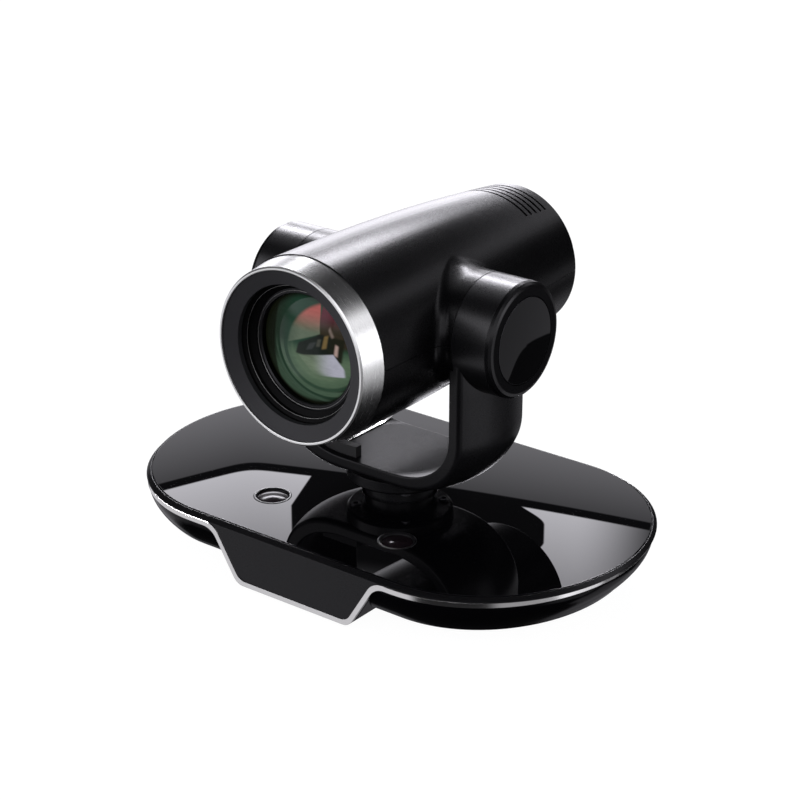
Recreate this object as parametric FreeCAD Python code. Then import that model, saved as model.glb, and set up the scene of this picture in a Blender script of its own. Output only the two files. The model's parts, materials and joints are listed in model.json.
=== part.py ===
import FreeCAD, Part
import math
import os

# Pan-tilt-zoom conference camera: a lens head carried on two trunnions by a U-shaped yoke, which
# turns on a wide, low base.  Millimetres, +Z up, the lens looks along -Y at rest.  The origin is on
# the pan axis, in the plane of the base's underside, at the mouth of the tripod thread.

# ---------------------------------------------------------------- driving dimensions
AXIS_Z = 124.7            # height of the tilt axis
GAP = 0.05                # assembly gap between pieces fixed to each other
SEAM = 0.3                # visible seam between the two head shells
RUNNING = 0.03            # radial clearance of shafts in their bearings

# Base, plan outline: straight front and rear edges joined by half-ellipse ends
BASE_MIDDLE_X = -2.7      # the base's middle lies this far beside the pan axis
PLATE_HALF_WIDTH = 131.6
PLATE_HALF_DEPTH = 79.0
PLATE_STRAIGHT = 60.5     # half length of the straight edges
PLATE_TOP = 30.5
PLATE_THICK = 1.6
PLATE_EDGE = 0.6          # bevel round the plate
COLLAR_HOLE_R = 18.5

# Offsets outside the plate: first along the front and rear, then at the two ends
SHOULDER_OUT = (2.9, 1.8)
SHOULDER_TOP_OUT = 0.25
SHELL_INSIDE = -2.4
CHIN_INSIDE = 0.6
TRIM_OUT = (3.35, 0.4)
TRIM_THICK = 1.75
TRIM_WIDTH = 2.4
TRIM_Z = 27.2             # centre line of the trim strip along the sides
CHIN_Z = 2.45             # centre line of the trim strip under the front chin
CHIN_TOP_X = 48.6         # half width of the chin where the trim leaves the side line
CHIN_LOW_X = 33.3         # half width of the chin at its lowest edge
CHIN_ROUND = 8.0
CHIN_REACH_X = 60.0       # everything of the chin lies within this of the pan axis

DISH_TOP = 25.9
DISH_OUTSIDE = [((2.9, 0.1), DISH_TOP), ((1.7, -0.9), 21.0), ((-1.6, -5.0), 15.0), ((-6.45, -9.8), 9.6)]
DISH_INSIDE = [((0.8, -2.0), 26.5), ((-0.4, -3.0), 21.0), ((-3.7, -7.1), 15.8), ((-9.2, -12.5), 11.6)]
BOX_HALF_DEPTH = 79.5
BOX_WALL = 2.0
POST_X, POST_Y = 45.0, 40.0          # chassis posts
POST_R, POST_BORE, POST_FOOT_Z = 3.5, 1.3, 10.5
STAND_X, STAND_Y = 28.0, (34.0, 70.0)  # stands under the main board
STAND_R, STAND_FOOT_Z = 2.5, 2.5

BOTTOM_HALF_X = 28.0
BOTTOM_HALF_Y = 70.0
BOTTOM_THICK = 1.15
BOTTOM_CORNER = 5.0
FOOT_R = 6.0
FOOT_HEIGHT = 2.5
FOOT_EDGE = 0.6
FOOT_X = 20.0
FOOT_Y = 60.0
TRIPOD_R = 2.6
TRIPOD_DEPTH = 8.0
INSERT_R = 5.0

WINDOW_LEFT = (-43.4, -44.5)
WINDOW_RIGHT = (33.8, -45.8)
WINDOW_R = 9.2
WINDOW_RIM = 0.9
WINDOW_PROUD = 0.25
WINDOW_LENS_R = 7.4
WINDOW_LENS_DEEP = 0.8
WINDOW_DOME_R = 24.0

# Screws: head radius, head height, shank radius, shank length
BASE_SCREW = (2.6, 1.6, 1.2, 8.0)
SOCKET_SHARE = 0.45       # key socket, as a share of the head's radius
SOCKET_DEPTH_SHARE = 0.6

# Electronics and sockets in the base
BOARD_Z = 7.0
BOARD_THICK = 1.6
BOARD_HALF_X = 32.0
BOARD_FRONT_Y, BOARD_BACK_Y = 30.0, 74.0
PANEL_Y = 76.5            # inner face of the rear connector panel
PANEL_THICK = 1.5
PANEL_FIT = 1.25
PANEL_CLEAR = 0.15        # gap round each socket in the panel
SOCKET_PROUD = 0.3
JACK_X, CONTROL_X, NETWORK_X, VIDEO_X = -27.5, -13.5, 3.5, 21.0
JACK_R, JACK_DEPTH, JACK_BODY = 3.2, 10.0, (9.0, 13.0, 11.0)           # body: width, depth, height
CONTROL_R, CONTROL_DEPTH, CONTROL_BODY = 4.7, 8.0, (13.0, 12.0, 13.0)
ROUND_SOCKET_Z = 6.0       # height of both round sockets' axes above the board
NETWORK_BODY, NETWORK_DEPTH = (16.0, 16.0, 13.5), 13.0
NETWORK_MOUTH = (11.8, 11.0, 18.5)                                     # width, lower z, upper z
NETWORK_LATCH = (6.0, 18.0, 20.6)
VIDEO_BODY, VIDEO_DEPTH, VIDEO_WALL = (15.2, 12.0, 6.2), 10.5, 0.6
VIDEO_MOUTH_HALF, VIDEO_LOW_HALF, VIDEO_CORNER, VIDEO_MOUTH_HIGH = 7.0, 5.4, 1.5, 4.8

# Pan drive
PAN_SHAFT_R = 10.0
PAN_SHAFT_BORE = 7.0
PAN_SHAFT_Z = 13.6
PAN_BEARING_R = 15.0
PAN_BEARING_HIGH = 6.0
PAN_SEAL = (11.8, 13.2, 0.6)         # seal groove: inner radius, outer radius, depth
WASHER_R = 14.0
CHASSIS_Z = 20.0
CHASSIS_THICK = 1.5
CHASSIS_HALF_X, CHASSIS_HALF_Y, CHASSIS_CORNER = 55.0, 50.0, 12.0
PAN_MODULE = 0.6
PAN_GEAR_TEETH = 72
PAN_PINION_TEETH = 12
PAN_GEAR_Z = 14.8
PAN_GEAR_WIDTH = 4.0
PINION_EXTRA = 0.2        # a pinion stands this far past its gear on both sides
PAN_MOTOR_R = 12.5
PAN_MOTOR_Z = 3.3
PAN_MOTOR_HIGH = 10.0
PAN_MOTOR_EAR = (17.0, 4.0, 1.0)     # half length, half width, thickness
PAN_MOTOR_HOLE_X, PAN_MOTOR_HOLE_R = 14.8, 1.2
PAN_MOTOR_NOSE_R, PAN_MOTOR_NOSE = 3.0, 0.9
PAN_SPINDLE_R = 1.0
PAN_SPINDLE_Z = 7.6

# Yoke: a cup turned about the pan axis, cut to a band by two flat faces
YOKE_R = 59.65
YOKE_CORNER = 31.1
YOKE_WALL = 5.8
YOKE_INNER_CORNER = 25.8
YOKE_UNDER_Z = 44.8
YOKE_FLOOR_Z = 51.85
YOKE_HALF_DEPTH = 25.8
YOKE_OUTER_ROUND = 3.0
YOKE_INNER_ROUND = 0.8
TURNTABLE_R = 26.0
TURNTABLE_Z = 38.7
TURNTABLE_EDGE = 1.2
NECK_R = 17.0
NECK_ROUND = 1.5
NECK_Z = 29.0
YOKE_SCREW_PLACE_R = 21.6
YOKE_SCREW_R, YOKE_SCREW_HIGH = 2.4, 1.4
YOKE_SOCKET_R, YOKE_SOCKET_DEEP = 1.2, 0.8
STOP_X, STOP_Y, STOP_HIGH = (-31.0, -9.5), (-22.0, -18.0), 5.5
STRIP_X, STRIP_Y, STRIP_THICK = (-25.8, -24.2), (-17.9, 25.4), 0.6

BOSS_R = 27.5
BOSS_IN = 50.0
BOSS_OUT = 68.5
BOSS_WALL = 2.7
BOSS_WEB = 5.0
HEAD_CLEAR = 0.8          # the arms are cut back this much round the head's stubs
COVER_OUT = 71.5
COVER_ROUND = 2.9
COVER_RECESS = 1.2
CAP_R = 20.4
CAP_DOME = 0.8
CAP_GROOVE = 0.5

# Tilt drive
TRUNNION_R = 8.0
TRUNNION_BORE = 5.0
TRUNNION_START, TRUNNION_LENGTH = 40.0, 19.8
FLANGE_R, FLANGE_THICK = 14.0, 2.95
TILT_BEARING_R = 13.0
TILT_BEARING_LENGTH = 4.6
TILT_BEARING_IN = 0.2
TILT_MODULE = 0.4
TILT_GEAR_TEETH = 56
TILT_PINION_TEETH = 14
TILT_GEAR_X = 56.0
TILT_GEAR_WIDTH = 3.0
TILT_MOTOR_R = 9.5
TILT_MOTOR_X = 60.2
TILT_SPINDLE_R, TILT_SPINDLE_LENGTH, TILT_MOTOR_BORE = 0.75, 9.5, 6.0
TILT_BOARD_X, TILT_BOARD_THICK, TILT_BOARD_HOLE = -62.0, 1.2, 1.5

# Head
RING_FRONT_Y = -80.55
RING_BACK_Y = -67.0
RING_FRONT_R = 41.7
RING_BACK_R = 43.4
RING_IN_R = 40.05
RING_CHAMFER = 0.7
BARREL_R = 43.8
BARREL_STRAIGHT_Y = -38.0  # the barrel narrows towards the rear from here
BARREL_REAR_Y = 94.7
BARREL_REAR_R = 36.7
BARREL_MID_R = 42.0
BARREL_EDGE = 1.0
SHELL_WALL = 2.2
REAR_COVER_R = 30.0
REAR_COVER_SEAT = 4.0
REAR_COVER_THICK = 2.2
REAR_COVER_EDGE = 0.6
REAR_SLOT_ROWS = [-12.0, -6.0, 0.0, 6.0, 12.0]
REAR_SLOT_HALF, REAR_SLOT_REACH = 0.9, 23.0
STUB_R = 27.5
STUB_X = 49.7
FLARE_R = 20.0            # concave flare of the stub towards the barrel
FLARE_X = 41.5
FLARE_REACH = 12.5
STUB_FILLET = 5.0
RIB_HALF_X, RIB_Y, RIB_TOP = 3.0, (58.0, 64.0), 22.0
RING_SEAT = 6.0
VENT_Y = [70.0, 74.3, 78.6, 82.9, 87.2]
VENT_WIDTH = 1.5
VENT_DEPTH = 1.3
VENT_HALF_ANGLE = 37.0

# Optics
BORE_R = 32.8
BORE_Y = -77.5
BORE_LIP = 2.5
BEZEL_WALL, BEZEL_BACK_Y, BEZEL_SET_BACK = 1.5, -70.0, 0.9
LENS_R = 27.0
LENS_EDGE_Y = -64.8
LENS_DOME = 8.0
LENS_THICK = 3.0
LENS_HOLLOW = 4.0
RETAINER_LIP, RETAINER_OUT = 0.9, 1.6
RETAINER_Y = (-69.0, -68.4, -66.8, -62.8)    # front face, lip front, lip back, rear end
HOOD_WALL = 1.4
HOOD_STEP_R = 31.3
HOOD_Y = (-73.8, -72.8, -70.8, -69.3, -58.8)  # step front, step face, step back, seat, rear end
OPTIC_R = 30.0
OPTIC_BACK_Y = 30.0
OPTIC_FLANGE, OPTIC_CONE = 4.0, 8.0
OPTIC_WALL = 2.0
CELL_CLEAR = 2.5
CELL_R = 22.0
CELL_BORE = 13.0
CELL_LENGTH = 10.0
GROUP_SEAT, GROUP_THICK, GROUP_DOME = 3.0, 4.0, 2.2
ROD_R = 1.5
ROD_OFFSET = 18.0
ROD_FRONT_Y = -46.0
ZOOM_Y = -30.0
FOCUS_Y = 6.0
BLOCK_THICK = 4.0
BLOCK_HALF_X, BLOCK_HALF_Z = 7.0, 5.5
SENSOR_HALF_X, SENSOR_HALF_Z, SENSOR_THICK = 6.5, 5.0, 1.5
SENSOR_BOARD_HALF = 19.0
HEAD_BOARD_HALF = 22.0
HEAD_BOARD_Y = 60.0

# ---------------------------------------------------------------- helpers
V = FreeCAD.Vector
X_AXIS = V(1, 0, 0)
Y_AXIS = V(0, 1, 0)
Z_AXIS = V(0, 0, 1)
FAR = 200.0


def box(x0, x1, y0, y1, z0, z1):
    return Part.makeBox(x1 - x0, y1 - y0, z1 - z0, V(x0, y0, z0))


def cylinder(radius, start, length, axis):
    return Part.makeCylinder(radius, length, start, axis)


def tube(outer, inner, start, length, axis):
    return cylinder(outer, start, length, axis).cut(cylinder(inner, start, length, axis))


def polygon(points):
    return Part.makePolygon(points + [points[0]])


def turned(profile, origin, axis, side):
    """A solid of revolution. profile is [(radius, distance along axis)], side is a radial direction."""
    points = [origin + side * r + axis * h for r, h in profile]
    return Part.Face(polygon(points)).revolve(origin, axis, 360)


def fused(shapes):
    return shapes[0].multiFuse(shapes[1:]).removeSplitter()


def save(name, shape):
    shape.exportStep(os.path.join("parts", name + ".step"))


# ---------------------------------------------------------------- base outline and trim path
def both(offset):
    """An offset outside the plate, as a pair: along the front and rear, and at the ends."""
    return offset if isinstance(offset, tuple) else (offset, offset)


def inwards(offset, step):
    """The same offset moved inwards by step all round."""
    return both(offset)[0] - step, both(offset)[1] - step


def plan_wire(offset, z):
    """The base's plan outline at height z, moved outside the plate by offset."""
    side_offset, end_offset = both(offset)
    end = PLATE_HALF_WIDTH - PLATE_STRAIGHT + end_offset
    depth = PLATE_HALF_DEPTH + side_offset
    edges = []
    for side in (1, -1):
        centre = V(BASE_MIDDLE_X + side * PLATE_STRAIGHT, 0, z)
        ellipse = Part.Ellipse(centre + Y_AXIS * depth * side, centre + X_AXIS * end * side, centre)
        edges.append(Part.Arc(ellipse, 0, math.pi).toShape())
        start = centre - Y_AXIS * depth * side
        edges.append(Part.LineSegment(start, start - X_AXIS * 2 * PLATE_STRAIGHT * side).toShape())
    return Part.Wire(edges)


def plan_solid(offset, z0, z1):
    return Part.Face(plan_wire(offset, z0)).extrude(V(0, 0, z1 - z0))


def plan_loft(sections, ruled):
    return Part.makeLoft([plan_wire(offset, z) for offset, z in sections], True, ruled)


def plan_ring(outside, inside, z0, z1):
    return plan_solid(outside, z0, z1).cut(plan_solid(inside, z0, z1))


TRIM_PATH = [(-FAR, TRIM_Z), (-CHIN_TOP_X, TRIM_Z), (-CHIN_LOW_X, CHIN_Z),
             (CHIN_LOW_X, CHIN_Z), (CHIN_TOP_X, TRIM_Z), (FAR, TRIM_Z)]


def unit(a, b):
    length = math.hypot(b[0] - a[0], b[1] - a[1])
    return (b[0] - a[0]) / length, (b[1] - a[1]) / length


def trim_edges(offset, y):
    """The trim strip's centre line in the front plane, moved upwards by offset, with rounded corners."""
    corners = []
    for i, point in enumerate(TRIM_PATH):
        before = unit(TRIM_PATH[max(i - 1, 0)], TRIM_PATH[max(i, 1)])
        last = len(TRIM_PATH) - 1
        after = unit(TRIM_PATH[min(i, last - 1)], TRIM_PATH[min(i + 1, last)])
        share = 1 + before[0] * after[0] + before[1] * after[1]
        corners.append((point[0] - offset * (before[1] + after[1]) / share,
                        point[1] + offset * (before[0] + after[0]) / share))
    edges = []
    here = V(corners[0][0], y, corners[0][1])
    for i in range(1, len(corners) - 1):
        a, b, c = corners[i - 1], corners[i], corners[i + 1]
        d1, d2 = unit(a, b), unit(b, c)
        cross = d1[0] * d2[1] - d1[1] * d2[0]
        turn = math.asin(abs(cross))
        radius = CHIN_ROUND - math.copysign(offset, cross)
        reach = radius * math.tan(turn / 2)
        start = V(b[0] - d1[0] * reach, y, b[1] - d1[1] * reach)
        end = V(b[0] + d2[0] * reach, y, b[1] + d2[1] * reach)
        inward = V(d2[0] - d1[0], 0, d2[1] - d1[1]).normalize()
        middle = V(b[0], y, b[1]) + inward * (radius / math.cos(turn / 2) - radius)
        edges.append(Part.LineSegment(here, start).toShape())
        edges.append(Part.Arc(start, middle, end).toShape())
        here = end
    edges.append(Part.LineSegment(here, V(corners[-1][0], y, corners[-1][1])).toShape())
    return edges


def above_trim(offset, top, y0, y1):
    """The space above the trim path moved by offset, up to top, between y0 and y1."""
    edges = trim_edges(offset, y0)
    first, last = edges[0].Vertexes[0].Point, edges[-1].Vertexes[-1].Point
    lid = [V(last.x, y0, top), V(first.x, y0, top)]
    closing = [Part.LineSegment(last, lid[0]).toShape(),
               Part.LineSegment(lid[0], lid[1]).toShape(),
               Part.LineSegment(lid[1], first).toShape()]
    return Part.Face(Part.Wire(edges + closing)).extrude(V(0, y1 - y0, 0))


# ---------------------------------------------------------------- gears
def gear(teeth, module, width, bore, centre, axis, side, phase):
    """A spur gear with involute flanks and a little backlash. side is where angle 0 points."""
    pitch = teeth * module / 2
    base = pitch * math.cos(math.radians(20))
    tip = pitch + 0.95 * module
    root = pitch - 1.2 * module
    half = math.pi / 2 / teeth - 0.06 * module / pitch
    other = axis.cross(side)

    def roll(radius):
        angle = math.acos(min(1.0, base / radius))
        return math.tan(angle) - angle

    foot = max(base, root)
    radii = [foot + (tip - foot) * i / 3 for i in range(4)]
    flank = [(r, half + roll(pitch) - roll(r)) for r in radii]
    if root < base:
        flank = [(root, flank[0][1])] + flank
    points = []
    for tooth in range(teeth):
        middle = phase + 2 * math.pi * tooth / teeth
        for r, a in flank:
            points.append(centre + side * r * math.cos(middle - a) + other * r * math.sin(middle - a))
        for r, a in reversed(flank):
            points.append(centre + side * r * math.cos(middle + a) + other * r * math.sin(middle + a))
    blank = Part.Face(polygon(points)).extrude(axis * width)
    if bore > 0:
        blank = blank.cut(cylinder(bore, centre, width, axis))
    return blank


# ---------------------------------------------------------------- base
def base_top_plate():
    top = plan_solid(0, PLATE_TOP - PLATE_THICK, PLATE_TOP - PLATE_EDGE)
    bevel = plan_loft([(0, PLATE_TOP - PLATE_EDGE), (-PLATE_EDGE, PLATE_TOP)], True)
    plate = top.fuse(bevel).removeSplitter()
    plate = plate.cut(cylinder(COLLAR_HOLE_R, V(0, 0, 0), FAR, Z_AXIS))
    for x, y in (WINDOW_LEFT, WINDOW_RIGHT):
        plate = plate.cut(cylinder(WINDOW_R + GAP, V(x, y, 0), FAR, Z_AXIS))
    return plate


def window_ring(place):
    """Turned ring round a window in the top plate, just proud of it."""
    low = PLATE_TOP - PLATE_THICK
    proud = PLATE_THICK + WINDOW_PROUD
    profile = [(WINDOW_LENS_R + GAP, 0), (WINDOW_R, 0), (WINDOW_R, PLATE_THICK),
               (WINDOW_R - WINDOW_PROUD, proud), (WINDOW_R - WINDOW_RIM, proud),
               (WINDOW_LENS_R + GAP, PLATE_THICK - 2 * WINDOW_PROUD)]
    return turned(profile, V(place[0], place[1], low), Z_AXIS, X_AXIS)


def window_lens(place):
    """Dark infrared window with a shallow dome."""
    low = PLATE_TOP - PLATE_THICK
    edge_z = PLATE_TOP - WINDOW_LENS_DEEP
    disc = cylinder(WINDOW_LENS_R, V(place[0], place[1], low), edge_z - low, Z_AXIS)
    rise = WINDOW_DOME_R - math.sqrt(WINDOW_DOME_R ** 2 - WINDOW_LENS_R ** 2)
    ball = Part.makeSphere(WINDOW_DOME_R, V(place[0], place[1], edge_z + rise - WINDOW_DOME_R))
    cap = ball.common(cylinder(WINDOW_LENS_R, V(place[0], place[1], edge_z), PLATE_THICK, Z_AXIS))
    return disc.fuse(cap).removeSplitter()


def chin_limit(y0, y1, top):
    return box(-CHIN_REACH_X, CHIN_REACH_X, y0, y1, 0, top)


def base_upper_shell():
    """Shoulder round the plate, skirt behind the trim and the chin's front panel, in one moulding."""
    trim_top = TRIM_Z + TRIM_WIDTH / 2 + GAP
    shoulder = plan_loft([(SHOULDER_OUT, trim_top), (SHOULDER_TOP_OUT, PLATE_TOP - SHOULDER_TOP_OUT)], True)
    skirt = plan_solid(inwards(TRIM_OUT, TRIM_THICK + GAP), DISH_TOP + GAP, trim_top)
    wall = plan_ring(SHOULDER_OUT, CHIN_INSIDE, 0, trim_top)
    panel = above_trim(TRIM_WIDTH / 2 + GAP, FAR, -FAR, -PLATE_HALF_DEPTH / 2)
    chin = wall.common(panel).common(chin_limit(-FAR, 0, FAR))
    shell = fused([shoulder, skirt, chin])
    shell = shell.cut(plan_solid(SHELL_INSIDE, 0, PLATE_TOP))
    return shell.cut(plan_solid(GAP, PLATE_TOP - PLATE_THICK - GAP, FAR))


def base_trim_strip():
    """Metal strip round the base that dips under the chin at the front."""
    wall = plan_ring(TRIM_OUT, inwards(TRIM_OUT, TRIM_THICK), 0, PLATE_TOP)
    half = TRIM_WIDTH / 2
    front = above_trim(-half, FAR, -FAR, 0).cut(above_trim(half, FAR + 1, -FAR, 0))
    front = front.common(box(-FAR, FAR, -FAR, 0, 0, PLATE_TOP))
    rear = box(-FAR, FAR, 0, FAR, TRIM_Z - half, TRIM_Z + half)
    return wall.common(front.fuse(rear)).removeSplitter()


def chin_box(inset, y0, y1):
    """The deep middle of the base: the space above the chin's lower edge, from front to rear."""
    return above_trim(-TRIM_WIDTH / 2 + inset, FAR, y0, y1).common(chin_limit(-FAR, FAR, DISH_TOP))


def grid(x, ys):
    """Places at plus and minus x, for each y."""
    return [(side * x, y) for side in (-1, 1) for y in ys]


def base_lower_shell():
    """Dished wings and the deep middle box, hollow, open at the top and for the connector panel."""
    outer = plan_loft(DISH_OUTSIDE, False).fuse(chin_box(0, -BOX_HALF_DEPTH, BOX_HALF_DEPTH))
    inside = plan_loft(DISH_INSIDE, False)
    shell = outer.cut(inside.fuse(chin_box(BOX_WALL, -BOX_HALF_DEPTH + BOX_WALL, PANEL_Y)))
    shell = shell.cut(chin_box(BOX_WALL + PANEL_FIT - GAP, PANEL_Y - 1, FAR))
    in_front = plan_ring(SHOULDER_OUT[0] + FOOT_X, CHIN_INSIDE - GAP, 0, DISH_TOP + GAP)
    in_front = in_front.common(above_trim(-TRIM_WIDTH / 2 - GAP, FAR, -FAR, 0))
    in_front = in_front.common(chin_limit(-FAR, 0, FAR))
    shell = shell.cut(in_front).cut(cylinder(INSERT_R + GAP, V(0, 0, 0), TRIPOD_DEPTH, Z_AXIS))
    posts = []
    for x, y in grid(POST_X, (-POST_Y, POST_Y)):
        posts.append(tube(POST_R, POST_BORE, V(x, y, POST_FOOT_Z), CHASSIS_Z - POST_FOOT_Z, Z_AXIS))
    for x, y in grid(STAND_X, STAND_Y):
        posts.append(cylinder(STAND_R, V(x, y, STAND_FOOT_Z), BOARD_Z - GAP - STAND_FOOT_Z, Z_AXIS))
    return shell.fuse(posts).removeSplitter()


def rounded_plate(half_x, half_y, z, thick, corner):
    plate = box(-half_x, half_x, -half_y, half_y, z, z + thick)
    upright = [e for e in plate.Edges if abs(e.tangentAt(e.FirstParameter).z) > 0.9]
    return plate.makeFillet(corner, upright)


def bottom_plate():
    plate = rounded_plate(BOTTOM_HALF_X, BOTTOM_HALF_Y, 0, BOTTOM_THICK, BOTTOM_CORNER)
    return plate.cut(cylinder(INSERT_R + GAP, V(0, 0, 0), FAR, Z_AXIS))


def tripod_insert():
    """Brass bush with the quarter-inch camera thread, shown as a plain bore of its minor radius."""
    body = cylinder(INSERT_R, V(0, 0, 0), TRIPOD_DEPTH + 1, Z_AXIS)
    return body.cut(cylinder(TRIPOD_R, V(0, 0, 0), TRIPOD_DEPTH, Z_AXIS))


def rubber_feet():
    profile = [(0, 0), (FOOT_R, 0), (FOOT_R, FOOT_EDGE - FOOT_HEIGHT), (FOOT_R - FOOT_EDGE, -FOOT_HEIGHT),
               (0, -FOOT_HEIGHT)]
    return Part.makeCompound([turned(profile, V(x, y, 0), Z_AXIS, X_AXIS)
                              for x, y in grid(FOOT_X, (-FOOT_Y, FOOT_Y))])


def screw(point, axis, size):
    """A socket-head screw. axis points from the head's outer face into the work."""
    head_r, head_high, shank_r, length = size
    head = cylinder(head_r, point, head_high, axis)
    shank = cylinder(shank_r, point + axis * head_high, length, axis)
    socket = cylinder(head_r * SOCKET_SHARE, point, head_high * SOCKET_DEPTH_SHARE, axis)
    return head.fuse(shank).cut(socket)


def base_screws():
    top = CHASSIS_Z + CHASSIS_THICK + BASE_SCREW[1]
    return Part.makeCompound([screw(V(x, y, top), -Z_AXIS, BASE_SCREW)
                              for x, y in grid(POST_X, (-POST_Y, POST_Y))])


def chassis_plate():
    """Steel plate that carries the pan bearing and the pan motor."""
    plate = rounded_plate(CHASSIS_HALF_X, CHASSIS_HALF_Y, CHASSIS_Z, CHASSIS_THICK, CHASSIS_CORNER)
    plate = plate.cut(cylinder(PAN_SHAFT_R + 1, V(0, 0, 0), FAR, Z_AXIS))
    for x, y in grid(POST_X, (-POST_Y, POST_Y)):
        plate = plate.cut(cylinder(BASE_SCREW[2] + 4 * GAP, V(x, y, 0), FAR, Z_AXIS))
    return plate


def pan_bearing():
    seal_in, seal_out, seal_deep = PAN_SEAL
    bore, top = PAN_SHAFT_R + RUNNING, PAN_BEARING_HIGH
    profile = [(bore, 0), (PAN_BEARING_R, 0), (PAN_BEARING_R, top), (seal_out, top),
               (seal_out, top - seal_deep), (seal_in, top - seal_deep), (seal_in, top), (bore, top)]
    return turned(profile, V(0, 0, CHASSIS_Z + CHASSIS_THICK), Z_AXIS, X_AXIS)


def thrust_washer():
    z = CHASSIS_Z + CHASSIS_THICK + PAN_BEARING_HIGH
    return tube(WASHER_R, PAN_SHAFT_R + RUNNING, V(0, 0, z), NECK_Z - GAP - z, Z_AXIS)


PAN_PINION_PLACE = V(0, -PAN_MODULE * (PAN_GEAR_TEETH + PAN_PINION_TEETH) / 2, 0)


def pan_motor():
    ear_x, ear_y, ear_high = PAN_MOTOR_EAR
    centre = PAN_PINION_PLACE + Z_AXIS * PAN_MOTOR_Z
    body = cylinder(PAN_MOTOR_R, centre, PAN_MOTOR_HIGH, Z_AXIS)
    ears = box(-ear_x, ear_x, centre.y - ear_y, centre.y + ear_y, PAN_MOTOR_Z, PAN_MOTOR_Z + ear_high)
    nose = cylinder(PAN_MOTOR_NOSE_R, centre, PAN_MOTOR_HIGH + PAN_MOTOR_NOSE, Z_AXIS)
    motor = body.fuse([ears, nose]).removeSplitter()
    well = V(0, centre.y, PAN_SPINDLE_Z - PAN_MOTOR_NOSE / 3)
    motor = motor.cut(cylinder(PAN_SPINDLE_R + RUNNING, well, FAR, Z_AXIS))
    for side in (-1, 1):
        place = V(side * PAN_MOTOR_HOLE_X, centre.y, 0)
        motor = motor.cut(cylinder(PAN_MOTOR_HOLE_R, place, FAR, Z_AXIS))
    return motor


def pan_pinion():
    low = PAN_GEAR_Z - PINION_EXTRA
    wheel = gear(PAN_PINION_TEETH, PAN_MODULE, PAN_GEAR_WIDTH + 2 * PINION_EXTRA, 0,
                 PAN_PINION_PLACE + Z_AXIS * low, Z_AXIS, Y_AXIS, math.pi / PAN_PINION_TEETH)
    shaft = cylinder(PAN_SPINDLE_R, PAN_PINION_PLACE + Z_AXIS * PAN_SPINDLE_Z,
                     PAN_GEAR_Z - PAN_SPINDLE_Z + PINION_EXTRA, Z_AXIS)
    return wheel.fuse(shaft).removeSplitter()


CONNECTOR_BACK = PANEL_Y + PANEL_THICK + SOCKET_PROUD
BOARD_TOP = BOARD_Z + BOARD_THICK + GAP


def main_board():
    """Circuit board with a processor, a memory chip and a coil, given as (x, y, half size, height)."""
    top = BOARD_Z + BOARD_THICK
    pieces = [box(-BOARD_HALF_X, BOARD_HALF_X, BOARD_FRONT_Y, BOARD_BACK_Y, BOARD_Z, top)]
    for x, y, half, high in ((-11, 45, 7, 1.4), (10.5, 44.5, 4.5, 1.6), (24, 39, 3.5, 3.4)):
        pieces.append(box(x - half, x + half, y - half, y + half, top, top + high))
    return fused(pieces)


def socket_body(x, size, clear):
    """Outer box of a socket on the main board, made larger by clear on its sides."""
    width, depth, high = size
    return box(x - width / 2 - clear, x + width / 2 + clear, CONNECTOR_BACK - depth, CONNECTOR_BACK,
               BOARD_TOP - clear, BOARD_TOP + high + clear)


def round_socket(x, size, radius, depth):
    place = V(x, CONNECTOR_BACK - depth, BOARD_TOP + ROUND_SOCKET_Z)
    return socket_body(x, size, 0).cut(cylinder(radius, place, depth, Y_AXIS))


def network_socket():
    body = socket_body(NETWORK_X, NETWORK_BODY, 0)
    for width, low, high in (NETWORK_MOUTH, NETWORK_LATCH):
        body = body.cut(box(NETWORK_X - width / 2, NETWORK_X + width / 2, CONNECTOR_BACK - NETWORK_DEPTH,
                            CONNECTOR_BACK, low, high))
    return body


def video_socket():
    low = BOARD_TOP + VIDEO_WALL
    high, shoulder = low + VIDEO_MOUTH_HIGH, low + VIDEO_CORNER
    half, low_half = VIDEO_MOUTH_HALF, VIDEO_LOW_HALF
    outline = [(-half, high), (half, high), (half, shoulder), (low_half, low), (-low_half, low),
               (-half, shoulder)]
    points = [V(VIDEO_X + x, CONNECTOR_BACK - VIDEO_DEPTH, z) for x, z in outline]
    mouth = Part.Face(polygon(points)).extrude(Y_AXIS * VIDEO_DEPTH)
    return socket_body(VIDEO_X, VIDEO_BODY, 0).cut(mouth)


def rear_panel():
    """Connector panel, set back inside the rear of the base."""
    plate = chin_box(BOX_WALL + PANEL_FIT, PANEL_Y + GAP, PANEL_Y + PANEL_THICK)
    for x, size in ((JACK_X, JACK_BODY), (CONTROL_X, CONTROL_BODY), (NETWORK_X, NETWORK_BODY),
                    (VIDEO_X, VIDEO_BODY)):
        plate = plate.cut(socket_body(x, size, PANEL_CLEAR))
    return plate


# ---------------------------------------------------------------- yoke
def cup(outer_r, corner, bottom, top):
    """A round-bottomed solid cup turned about the pan axis."""
    low = V(outer_r - corner, 0, bottom)
    high = V(outer_r, 0, bottom + corner)
    bend = math.radians(45)
    middle = V(outer_r - corner + corner * math.sin(bend), 0, bottom + corner - corner * math.cos(bend))
    edges = [Part.LineSegment(V(0, 0, bottom), low).toShape(), Part.Arc(low, middle, high).toShape(),
             Part.LineSegment(high, V(outer_r, 0, top)).toShape(),
             Part.LineSegment(V(outer_r, 0, top), V(0, 0, top)).toShape(),
             Part.LineSegment(V(0, 0, top), V(0, 0, bottom)).toShape()]
    return Part.Face(Part.Wire(edges)).revolve(V(0, 0, 0), Z_AXIS, 360)


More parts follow.
